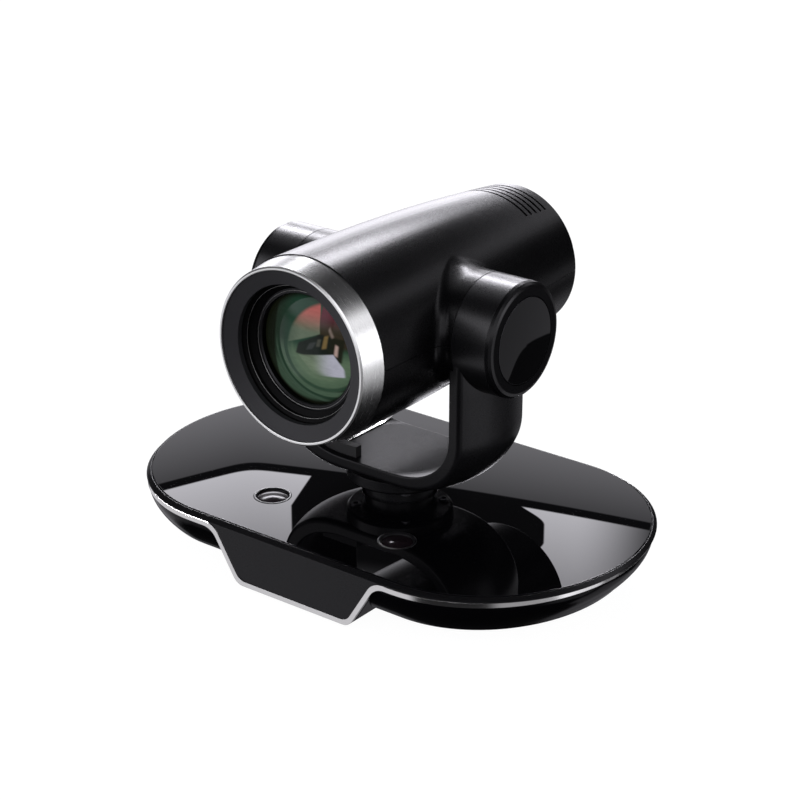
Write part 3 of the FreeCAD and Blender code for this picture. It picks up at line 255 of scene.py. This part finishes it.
def plastic(name, colour, rough, grain=0.25, grain_scale=FINE_GRAIN, round_mm=0.25, worn=2.2, **settings):
    """Moulded plastic or rubber: fine grain, uneven gloss and slightly paler edges, which are a painted highlight.
    """
    g = Graph(name)
    patches = g.noise(PATCHES, 4.0, 0.6)
    fine = g.noise(grain_scale, 2.0, 0.6)
    edge_mask, soft_normal = g.edge(round_mm * MM)
    # painted highlight: the edges are paler than the faces
    base = g.mix(g.mul(edge_mask, 0.55), patchy(g, patches, colour), tone(colour, worn))
    uneven = g.add(g.remap(patches, rough * 0.9, rough * 1.1), g.mul(g.sub(fine, 0.5), rough * 0.25))
    g.surface(base, uneven, g.bump(fine, grain, GRAIN_HEIGHT, soft_normal), **settings)
    return g


def moulded(name, colour, rough, **settings):
    return plastic(name, colour, rough, **settings).material


def polished(name, colour, rough, round_mm=0.25, **settings):
    """Piano-black plastic: nearly clean, with faint cleaning marks in the gloss and a painted highlight that makes
    the edge lighter.
    """
    g = Graph(name)
    smears = g.noise(22.0, 5.0, 0.62, g.scaled((1.0, 2.4, 1.0)))
    dust = g.step(g.noise(1900.0, 1.0, 0.5), 0.72, 0.8)
    edge_mask, soft_normal = g.edge(round_mm * MM)
    base = g.mix(g.mul(dust, 0.25), colour, tone(colour, 3.0))
    # painted highlight: a pale line along the edges
    base = g.mix(g.mul(edge_mask, 0.6), base, tone(colour, 36.0))
    gloss = g.add(g.remap(smears, rough * 0.5, rough * 1.5), g.mul(dust, 0.05))
    g.surface(base, gloss, soft_normal, **settings)
    return g.material


def yoke_plastic(name, colour, rough):
    """Satin plastic, glossier towards the bosses and dull on the floor between the arms."""
    dull_from, dull_to = YOKE_LOW_Z + 11.2 * MM, YOKE_LOW_Z + 9.2 * MM
    gloss_from, gloss_to = TILT_Z - 26.7 * MM, TILT_Z - 6.7 * MM
    g = plastic(name, colour, rough, round_mm=0.5)
    height = g.parts()[2]
    level = g.step(g.parts(g.normal())[2], *LEVEL)
    floor = g.mul(level, g.step(height, dull_from, dull_to))
    shine = g.ramp(height, gloss_from, gloss_to, 0.19, 0.34)
    g.link(g.mul(shine, g.sub(1.0, g.mul(floor, 0.85))), g.shader.inputs["Specular IOR Level"])
    return g.material


def cover_plastic(name, colour, rough):
    """Boss cover: the rounded rim is handled and shiny, the ring round the cap is duller."""
    g = Graph(name)
    _, y, z = g.parts()
    radius = g.length(y, g.sub(z, TILT_Z))
    rim = g.step(radius, COVER_RADIUS - 3.1 * MM, COVER_RADIUS - 2.5 * MM)
    fine = g.noise(FINE_GRAIN, 2.0, 0.6)
    patches = g.noise(PATCHES, 4.0, 0.6)
    uneven = g.remap(patches, rough * 0.85, rough * 1.15)
    g.surface(patchy(g, patches, colour), uneven, g.bump(fine, 0.15, GRAIN_HEIGHT),
              Specular_IOR_Level=g.remap(rim, 0.04, 0.26))
    return g.material


def circuit_board(name, colour):
    """Solder mask with a faint pattern of tracks."""
    g = Graph(name)
    cells = g.tree.nodes.new("ShaderNodeTexBrick")
    g.link(g.coords, cells.inputs["Vector"])
    cells.inputs["Scale"].default_value = 260.0
    for key, factor in (("Color1", 0.8), ("Color2", 1.15), ("Mortar", 1.7)):
        cells.inputs[key].default_value = opaque(tone(colour, factor))
    g.surface(cells.outputs["Color"], g.remap(g.noise(300.0), 0.3, 0.45))
    return g.material


# ---------------------------------------------------------------- metals
METAL_HEIGHT = 0.03 * MM      # depth of the grain in metal
GRAIN_LINES = (1.0, 1.0, 60.0)
CHAMFER = 0.85 * MM           # the ring's polished front edge reaches this far back
CHAMFER_BLEND = 0.3 * MM


def metal(name, colour, rough, depth=0.25, worn=1.25):
    """Machined or plated metal with a directional grain and brighter edges."""
    g = Graph(name)
    streak = g.noise(220.0, 3.0, 0.6, g.scaled(GRAIN_LINES))
    patches = g.noise(30.0, 3.0, 0.5)
    edge_mask, soft_normal = g.edge(0.15 * MM)
    base = g.mix(streak, tone(colour, 0.85), tone(colour, 1.1))
    base = g.mix(g.mul(edge_mask, 0.5), base, tone(colour, worn))
    uneven = g.add(g.remap(streak, rough * 0.8, rough * 1.25), g.mul(g.sub(patches, 0.5), rough * 0.3))
    g.surface(base, uneven, g.bump(streak, depth, METAL_HEIGHT, soft_normal), Metallic=1.0)
    return g.material


def head_polar(g):
    """Offsets to the side, along and above the lens axis, and the distance from it, in metres."""
    x, y, z = g.parts()
    v = g.sub(z, TILT_Z)
    return x, y, v, g.length(x, v)


def brushed_ring(name):
    """Aluminium ring: fine lines round the axis on the outside, polished front chamfer, and painted shade from the
    top round to the left.
    """
    g = Graph(name)
    x, y, v, radius = head_polar(g)
    angle = g.math("ARCTAN2", v, x)
    lines = g.joined(g.mul(angle, 0.010), y, radius)
    fine = g.noise(900.0, 4.0, 0.7, g.scaled((1.0, 6.0, 6.0), lines))
    wide = g.noise(160.0, 3.0, 0.6, g.scaled((1.4, 2.5, 2.5), lines))
    streak = g.add(g.mul(fine, 0.6), g.mul(wide, 0.4))
    polish = g.step(y, RING_FRONT_Y + CHAMFER, RING_FRONT_Y + CHAMFER - CHAMFER_BLEND)
    # painted shade: the metal is darker from the top round to the left
    painted_shade_top = g.mul(g.step(angle, 0.7, 1.15), 0.94)
    bright_lines = g.mix(streak, (0.47, 0.475, 0.46), (0.84, 0.85, 0.82))
    painted_shade_lines = g.mix(streak, (0.02, 0.0203, 0.0196), (0.085, 0.086, 0.083))
    base = g.mix(polish, g.mix(painted_shade_top, bright_lines, painted_shade_lines), (0.92, 0.93, 0.90))
    rough = g.add(g.mul(g.remap(streak, 0.20, 0.32), g.sub(1.0, polish)), g.mul(polish, 0.34))
    tangent = g.tree.nodes.new("ShaderNodeTangent")
    tangent.direction_type = "RADIAL"
    tangent.axis = "Y"
    g.surface(base, rough, g.bump(streak, 0.35, METAL_HEIGHT), Metallic=1.0, Anisotropic=0.35,
              Tangent=tangent.outputs[0])
    return g.material


# ---------------------------------------------------------------- glass
def dark_window(name):
    """Infrared filter: deep red-black under a clear gloss."""
    g = Graph(name)
    tint = g.mix(g.noise(260.0, 3.0, 0.6), (0.005, 0.004, 0.005), (0.014, 0.009, 0.011))
    g.surface(tint, g.remap(g.noise(60.0), 0.10, 0.16), Specular_IOR_Level=0.06)
    return g.material


def sensor_cover(name):
    """Cover glass of the image sensor, with the sensor's green sheen."""
    g = Graph(name)
    g.surface(g.mix(g.noise(900.0), (0.02, 0.05, 0.045), (0.10, 0.16, 0.13)), 0.12, Coat_Weight=1.0)
    return g.material


# Painted reflections in the front lens, which glow as emission, seen from the front: millimetres to the right of
# and above its axis.
# Outlines go anticlockwise.
ARC_CENTRE = (11.5, 4.0)
LENS_ARCS = [                 # radius, half width, softness, colour, strength
    (12.5, 3.4, 2.5, (0.110, 0.160, 0.100), 0.75),
    (17.6, 1.2, 1.5, (0.075, 0.120, 0.075), 0.80),
    (20.6, 0.3, 0.8, (0.022, 0.050, 0.030), 0.70),
    (23.2, 0.8, 1.0, (0.060, 0.100, 0.065), 0.80),
    (25.4, 0.4, 0.8, (0.012, 0.030, 0.018), 0.80),
    (27.3, 0.4, 0.8, (0.040, 0.070, 0.048), 0.70),
]
ROSE_WEDGE = [(-8.0, 3.2), (11.8, 11.0), (8.2, 20.5), (7.2, 26.0), (-12.0, 26.0)]
ROSE_CENTRE = (13.5, 3.0)     # the wedge ends on a circle about this point
DARK_MIDDLE = [(-2.5, -0.6), (20.5, -1.8), (21.5, 9.0), (10.0, 10.4), (-1.0, 4.6)]
PALE_WINDOW = [(-1.0, -1.0), (7.4, -9.5), (24.0, -8.6), (16.8, 2.0)]
# painted glints of lamps in the lens
LENS_LIGHTS = [               # outline, colour
    ([(11.4, 3.8), (13.6, 4.4), (14.0, 10.2), (12.2, 9.8)], (0.17, 0.115, 0.045)),
    ([(3.5, 2.2), (6.8, 3.2), (8.6, 6.6), (5.2, 5.6)], (0.035, 0.040, 0.040)),
    ([(8.6, 4.6), (10.4, 4.8), (10.8, 8.2), (9.2, 8.0)], (0.060, 0.062, 0.050)),
    ([(13.6, 12.6), (15.6, 9.2), (16.6, 9.8), (14.2, 14.0)], (0.180, 0.140, 0.120)),
    ([(17.1, 1.6), (18.6, 1.0), (18.9, 6.0), (17.5, 6.6)], (0.420, 0.300, 0.265)),
]


class LensPattern(Graph):
    """The painted reflections in the front lens, in millimetres about its axis."""

    def __init__(self, name):
        super().__init__(name)
        x, _, v, radius = head_polar(self)
        self.u, self.v, self.r = (self.mul(part, 1.0 / MM) for part in (x, v, radius))

    def shade(self, corners, soft):
        """1 inside a convex outline, 0 outside."""
        result = 1.0
        for (x0, y0), (x1, y1) in zip(corners, corners[1:] + corners[:1]):
            side = math.hypot(x1 - x0, y1 - y0)
            nx, ny = -(y1 - y0) / side, (x1 - x0) / side
            away = self.total(self.mul(self.u, nx), self.mul(self.v, ny), -nx * x0 - ny * y0)
            result = self.mul(result, self.step(away, -soft, soft))
        return result

    def about(self, centre):
        """Distance from a point."""
        return self.length(self.sub(self.u, centre[0]), self.sub(self.v, centre[1]))

    def bowl(self):
        """Painted glow of dark green glass, nearly black at the rim and along the left."""
        bowl = self.mix(self.step(self.u, -18.0, -2.0), (0.014, 0.024, 0.016), (0.012, 0.040, 0.024))
        bowl = self.mix(self.step(self.v, -2.0, -12.0), bowl, (0.035, 0.062, 0.040))
        colour = self.mix(self.step(self.r, 26.2, 22.6), (0.0035, 0.004, 0.0022), bowl)
        left = self.mul(self.step(self.u, -16.4, -18.4), 0.85)
        return self.mix(left, colour, (0.0045, 0.0055, 0.0028))

    def arcs(self, colour):
        """Painted pale reflected arcs in the lower half."""
        low, inside = self.step(self.v, 6.0, -3.0), self.step(self.r, 26.4, 24.6)
        away = self.about(ARC_CENTRE)
        for centre, half, soft, tint, strength in LENS_ARCS:
            mask = self.product(self.band(away, centre, half, soft), low, inside, strength)
            colour = self.mix(mask, colour, tint)
        return colour

    def wedge(self, colour):
        """Painted reflections: a rose to amber wedge above the middle, and the wine-red rim at its right."""
        rose = self.mix(self.step(self.v, 21.0, 9.5), (0.36, 0.085, 0.075), (0.105, 0.135, 0.095))
        wedge = self.mul(self.step(self.about(ROSE_CENTRE), 21.8, 19.6), self.shade(ROSE_WEDGE, 0.45))
        fade = self.remap(self.step(self.u, -7.5, 0.5), 0.55, 0.95)
        colour = self.mix(self.mul(wedge, fade), colour, rose)
        right = self.product(self.step(self.u, 8.2, 9.4), self.step(self.r, 24.8, 23.0),
                             self.step(self.v, 3.0, 6.0), self.sub(1.0, wedge), 0.9)
        wine = self.mix(self.step(self.v, 19.0, 12.0), (0.085, 0.014, 0.026), (0.032, 0.022, 0.014))
        return self.mix(right, colour, wine)

    def middle(self, colour):
        """Dark middle with small painted gold and pale lights."""
        dark = self.mix(self.step(self.u, 12.0, 17.0), (0.010, 0.013, 0.011), (0.012, 0.013, 0.008))
        colour = self.mix(self.mul(self.shade(DARK_MIDDLE, 0.7), 0.96), colour, dark)
        for corners, tint in LENS_LIGHTS:
            colour = self.mix(self.mul(self.shade(corners, 0.6), 0.85), colour, tint)
        return colour

    def reflection(self, colour):
        """Painted reflection of a pale window below the middle, fading into the arcs at its left."""
        pale = self.mix(self.step(self.u, 6.0, 17.5), (0.15, 0.19, 0.13), (0.37, 0.37, 0.44))
        slope = self.add(self.v, self.mul(self.u, 0.32))
        fade = self.remap(self.step(self.u, 0.0, 13.0), 0.45, 1.0)
        mask = self.product(self.shade(PALE_WINDOW, 0.45), self.step(self.u, 22.0, 20.5),
                            self.step(slope, -7.5, -2.5), fade)
        return self.mix(mask, colour, pale)


def painted_reflection_lens(name):
    """The front lens: dark glass whose green, amber and rose reflections are painted and glow as emission."""
    g = LensPattern(name)
    smear = g.mul(g.noise(260.0, 3.0, 0.6, g.scaled((1.0, 1.0, 3.0))), 0.35)
    # painted reflections, glowing as emission
    pattern = g.reflection(g.middle(g.wedge(g.arcs(g.bowl()))))
    g.surface((0.0015, 0.0015, 0.0015), g.remap(g.noise(40.0), 0.05, 0.08), Specular_IOR_Level=0.12,
              Emission_Color=g.mix(smear, pattern, (0.0, 0.0, 0.0)), Emission_Strength=1.15)
    return g.material


# ---------------------------------------------------------------- materials by record slot
GLOSS_BLACK = (0.002, 0.002, 0.0025)
SATIN_BLACK = (0.006, 0.006, 0.0066)
FINISH = {
    "gloss_black": polished("gloss_black_plastic", GLOSS_BLACK, 0.004, round_mm=0.3),
    "satin_black": moulded("satin_black_plastic", SATIN_BLACK, 0.28, round_mm=0.5,
                           Specular_IOR_Level=0.22),
    "head_black": moulded("head_black_plastic", (0.0022, 0.0022, 0.0025), 0.27, round_mm=0.3,
                          Specular_IOR_Level=0.2),
    "trim_metal": metal("bright_trim", (0.80, 0.80, 0.775), 0.16, depth=0.1),
    "ring_metal": brushed_ring("brushed_ring"),
    "foot_rubber": moulded("foot_rubber", (0.018, 0.018, 0.018), 0.75, grain=0.5, grain_scale=1500.0),
    "steel": metal("machined_steel", (0.52, 0.52, 0.52), 0.3),
    "screw_steel": metal("black_screw", (0.10, 0.10, 0.105), 0.35),
    "brass": metal("turned_brass", (0.72, 0.52, 0.24), 0.25),
    "gear_plastic": moulded("acetal", (0.72, 0.71, 0.66), 0.4, worn=1.1),
    "board_green": circuit_board("circuit_board", (0.02, 0.12, 0.05)),
    "board_parts": moulded("socket_black", (0.02, 0.02, 0.02), 0.45),
    "window_dark": dark_window("dark_window"),
    "optic_black": moulded("bezel_black", (0.018, 0.018, 0.0198), 0.45, grain=0.3,
                           grain_scale=BEZEL_GRAIN, worn=4.5, Specular_IOR_Level=0.35),
    "lens_glass": painted_reflection_lens("painted_reflection_lens"),
    "sensor_glass": sensor_cover("sensor_cover"),
    "alloy_black": metal("black_anodised", (0.03, 0.03, 0.031), 0.35, worn=12.0),
    "socket_metal": metal("tin_plate", (0.62, 0.62, 0.62), 0.28),
}
# pieces that differ a little from the rest of their slot
BOSS_COVER = cover_plastic("boss_cover_plastic", (0.004, 0.004, 0.0045), 0.24)
OWN_FINISH = {
    "boss_cover_right": BOSS_COVER,
    "boss_cover_left": BOSS_COVER,
    "yoke_frame": yoke_plastic("yoke_plastic", SATIN_BLACK, 0.28),
    "base_lower_shell": polished("lower_shell_gloss", GLOSS_BLACK, 0.12, Specular_IOR_Level=0.07),
    "lens_hood": moulded("hood_black", (0.0015, 0.0015, 0.0016), 0.55, grain=0.3,
                         grain_scale=BEZEL_GRAIN, worn=6.0, round_mm=0.12, Specular_IOR_Level=0.08),
}
for part in frame["record"]["subparts"]:
    data = NODES[part["node"]].data
    data.materials.clear()
    data.materials.append(OWN_FINISH.get(part["node"]) or FINISH[part["material_slot"]])


# ---------------------------------------------------------------- pieces added to the CAD
def turned_piece(name, profile, material, body, steps=192):
    """A ring turned about the lens axis. profile is a closed outline of (radius, y), in millimetres."""
    points = []
    for i in range(steps):
        a = 2 * math.pi * i / steps
        points += [(r * math.sin(a) * MM, y * MM, TILT_Z + r * math.cos(a) * MM) for r, y in profile]
    count, faces = len(profile), []
    for i in range(steps):
        for k in range(count):
            near, far = i * count, (i + 1) % steps * count
            faces.append((near + k, far + k, far + (k + 1) % count, near + (k + 1) % count))
    mesh = bpy.data.meshes.new(name)
    mesh.from_pydata(points, [], faces)
    mesh.shade_smooth()
    mesh.materials.append(material)
    piece = bpy.data.objects.new(name, mesh)
    scene.collection.objects.link(piece)
    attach(piece, body)


def bead(radius, y, size, sides=10):
    """Round cross-section of a thin bead."""
    turns = [2 * math.pi * k / sides for k in range(sides)]
    return [(radius + size * math.cos(t), y + size * math.sin(t)) for t in turns]


BEAD_METAL = metal("turned_bead", (0.34, 0.34, 0.33), 0.3, depth=0.1)
turned_piece("lens_bead", bead(radius=27.75, y=-69.2, size=0.16), BEAD_METAL, "head")
turned_piece("hood_bead", bead(radius=31.1, y=-72.95, size=0.12), BEAD_METAL, "head")


# ---------------------------------------------------------------- table
TABLE_HALF = 3.0              # metres
TABLE_GAP = 0.2 * MM          # under the feet


def table_material():
    """Bright studio table that stays white under the object."""
    g = Graph("pale_floor")
    tint = g.mix(g.noise(3.0), (0.10, 0.10, 0.10), (0.12, 0.12, 0.12))
    g.surface(tint, 0.9, Emission_Color=(1.0, 1.0, 1.0, 1.0), Emission_Strength=0.97,
              Specular_IOR_Level=0.0)
    return g.material


def make_table():
    """A white table, which shows to the camera only and so lights no underside."""
    low = CAD_BOX[0].z - TABLE_GAP
    corners = [(-1, -1), (1, -1), (1, 1), (-1, 1)]
    mesh = bpy.data.meshes.new("floor")
    mesh.from_pydata([(x * TABLE_HALF, y * TABLE_HALF, low) for x, y in corners], [], [(0, 1, 2, 3)])
    mesh.materials.append(table_material())
    table = bpy.data.objects.new("floor", mesh)
    table.visible_diffuse = False
    table.visible_glossy = False
    scene.collection.objects.link(table)


# ---------------------------------------------------------------- light
# The room by direction: azimuth from +Y towards +X, and elevation, in degrees.
DEGREES = math.degrees(1.0)   # in a radian
ROOM_COLOUR = (0.95, 0.935, 1.0)
AMBIENT = 0.02
# Plain lamps and cards: azimuth and elevation as (from, to, softness), brightness
CARDS = [
    ((50.0, 66.0, 0.6), (-11.0, 19.5, 0.7), 2.6),          # white card at the right
    ((-60.0, 10.0, 2.0), (-55.0, -14.0, 3.0), 0.16),       # low wall behind
    ((72.0, 130.0, 6.0), (-40.0, 35.0, 6.0), 0.35),        # wall at the right
    ((-165.0, -62.0, 4.0), (-42.0, 0.0, 4.0), 0.7),        # low wall at the left
    ((-175.0, -118.0, 8.0), (6.0, 36.0, 5.0), 2.4),        # lamp at the left front
    ((112.0, 190.0, 6.0), (6.0, 42.0, 5.0), 1.3),          # lamp at the right front
]
# The large softbox behind the object, whose lower edge is a shallow V
BOX_EDGE = 24.93              # elevation of the V's point
BOX_RIGHT = -41.9, 0.128      # azimuth from which the right side rises, and its slope
BOX_LEFT = -42.3, -0.19
BOX_BEND = 0.25               # rounding of the V
BOX_STRIP = 3.5               # height of the evenly lit strip along the edge
BOX_TOP = 11.0                # height of the whole softbox
BOX_SIDE = -60.0, -53.0       # azimuths over which its left side begins
WALL_DROP = -11.0, -0.21      # the lit wall reaches from here to here, measured from the edge
SHARP = 0.02                  # softness of a sharp edge
# The dark flag in front of the strip: its left side leans, its right side has a bulge and a notch
FLAG_LEFT = 25.1, 25.9, -40.3, -40.93      # elevations, and the azimuths there
FLAG_RIGHT = -34.3
FLAG_BULGE, BULGE_WIDTH = (26.05, 27.2, 0.35), 0.9
FLAG_NOTCH, NOTCH_WIDTH = (27.5, 27.75), 0.43
FLAG_SOFT = 0.03


def softbox_edge(g, az):
    """Elevation of the softbox's lower edge."""
    right, left = (g.mul(g.sub(az, start), slope) for start, slope in (BOX_RIGHT, BOX_LEFT))
    return g.add(g.math("SMOOTH_MAX", right, left, BOX_BEND), BOX_EDGE)


def beside_flag(g, az, el):
    """0 behind the dark flag, 1 beside it."""
    bulge = g.mul(g.window(el, *FLAG_BULGE), BULGE_WIDTH)
    notch = g.mul(g.step(el, *FLAG_NOTCH), NOTCH_WIDTH)
    past_left = g.sub(az, g.ramp(el, *FLAG_LEFT))
    past_right = g.sub(az, g.total(bulge, notch, FLAG_RIGHT))
    hidden = g.mul(g.step(past_left, -FLAG_SOFT, FLAG_SOFT), g.step(past_right, FLAG_SOFT, -FLAG_SOFT))
    return g.sub(1.0, hidden)


def softbox(g, az, el):
    """The softbox, the strip along its edge, and the wall and floor that it lights."""
    over = g.sub(el, softbox_edge(g, az))
    wall = g.mul(g.ramp(over, -0.2, -1.8, 0.42, 1.15), g.window(over, *WALL_DROP, SHARP))
    strip = g.product(g.ramp(over, 0.0, 1.8, 4.1, 2.5), g.window(over, 0.0, BOX_STRIP, SHARP),
                      beside_flag(g, az, el), g.step(az, -29.6, -32.6))
    lamp = g.product(g.ramp(over, BOX_STRIP, 5.5, 3.0, 38.0), g.window(over, BOX_STRIP, BOX_TOP, 1.5),
                     g.step(az, -18.5, -28.0))
    under = g.product(g.ramp(el, 14.0, -12.0, 7.0, 0.5), g.window(el, -12.0, 14.0, 1.5),
                      g.step(az, -22.0, -30.0))
    return g.mul(g.total(wall, strip, lamp, under), g.step(az, *BOX_SIDE))


def ceiling(g, az, el):
    """Faint light from high up behind, falling off to the right."""
    return g.product(g.ramp(az, -30.0, 10.0, 0.4, 0.08), g.window(el, 43.0, 75.0, 2.0),
                     g.window(az, -90.0, 34.0, 8.0))


def right_wall(g, az, el):
    """The paler room above and below the white card."""
    upper = g.product(g.ramp(el, 20.0, 48.0, 0.85, 0.18), g.window(az, 43.0, 75.0, 3.0),
                      g.window(el, 19.5, 58.0, 1.5))
    slanted = g.add(az, g.mul(el, 0.35))
    lower = g.product(g.window(slanted, 42.0, 75.0, 2.0), g.window(el, -42.0, -11.0, 1.0), 0.85)
    return g.add(upper, lower)


def table_light(g, az, el):
    """Faint light from below, with the dark round corner that the right boss cap mirrors."""
    corner_az, corner_el, roundness = 37.9, -21.7, 10.0
    corner = g.math("SMOOTH_MAX", g.sub(el, corner_el), g.sub(az, corner_az), roundness)
    near = g.product(g.window(az, 10.0, 46.5, 2.0), g.window(el, -38.0, -12.0, 2.0),
                     g.step(corner, -0.15, 0.15), 0.24)
    deep = g.product(g.window(az, -10.0, 46.5, 4.0), g.window(el, -56.0, -35.0, 2.0),
                     g.ramp(az, -5.0, 46.0, 0.18, 0.7))
    return g.add(near, deep)


def room_light(g):
    """Brightness of the room in each direction."""
    x, y, z = g.parts()
    az = g.mul(g.math("ARCTAN2", x, y), DEGREES)
    el = g.mul(g.math("ARCSINE", z), DEGREES)
    result = g.total(softbox(g, az, el), ceiling(g, az, el), right_wall(g, az, el), table_light(g, az, el))
    for across, up, brightness in CARDS:
        result = g.add(result, g.product(g.window(az, *across), g.window(el, *up), brightness))
    return g.add(result, AMBIENT)


def make_world():
    """White to the camera; to everything else, a dark studio with its lamps and cards."""
    world = bpy.data.worlds.new("studio")
    world.use_nodes = True
    g = Nodes(world.node_tree, "Generated")
    new = g.tree.nodes.new
    seen, room = new("ShaderNodeBackground"), new("ShaderNodeBackground")
    mix = new("ShaderNodeMixShader")
    g.link(opaque((1.0, 1.0, 1.0)), seen.inputs["Color"])
    g.link(opaque(ROOM_COLOUR), room.inputs["Color"])
    g.link(room_light(g), room.inputs["Strength"])
    g.link(new("ShaderNodeLightPath").outputs["Is Camera Ray"], mix.inputs[0])
    g.link(room.outputs[0], mix.inputs[1])
    g.link(seen.outputs[0], mix.inputs[2])
    g.link(mix.outputs[0], new("ShaderNodeOutputWorld").inputs["Surface"])
    scene.world = world


# ---------------------------------------------------------------- camera
CAMERA_AZIMUTH, CAMERA_ELEVATION = math.radians(37.7), math.radians(23.12)
CAMERA_TARGET = Vector((0.03505, -0.04525, 0.10150))
CAMERA_DISTANCE = 0.96399     # metres
FOCAL_LENGTH = 96.39          # millimetres, on a 36 mm sensor


def make_camera():
    level = math.cos(CAMERA_ELEVATION)
    back = Vector((math.sin(CAMERA_AZIMUTH) * level, -math.cos(CAMERA_AZIMUTH) * level,
                   math.sin(CAMERA_ELEVATION)))
    data = bpy.data.cameras.new("camera")
    data.lens = FOCAL_LENGTH
    data.sensor_width = 36.0
    data.clip_start = 0.01
    camera = bpy.data.objects.new("camera", data)
    camera.location = CAMERA_TARGET + back * CAMERA_DISTANCE
    camera.rotation_mode = "QUATERNION"
    camera.rotation_quaternion = (-back).to_track_quat("-Z", "Y")
    scene.collection.objects.link(camera)
    scene.camera = camera


make_table()
make_world()
make_camera()
scene.view_settings.view_transform = "Standard"
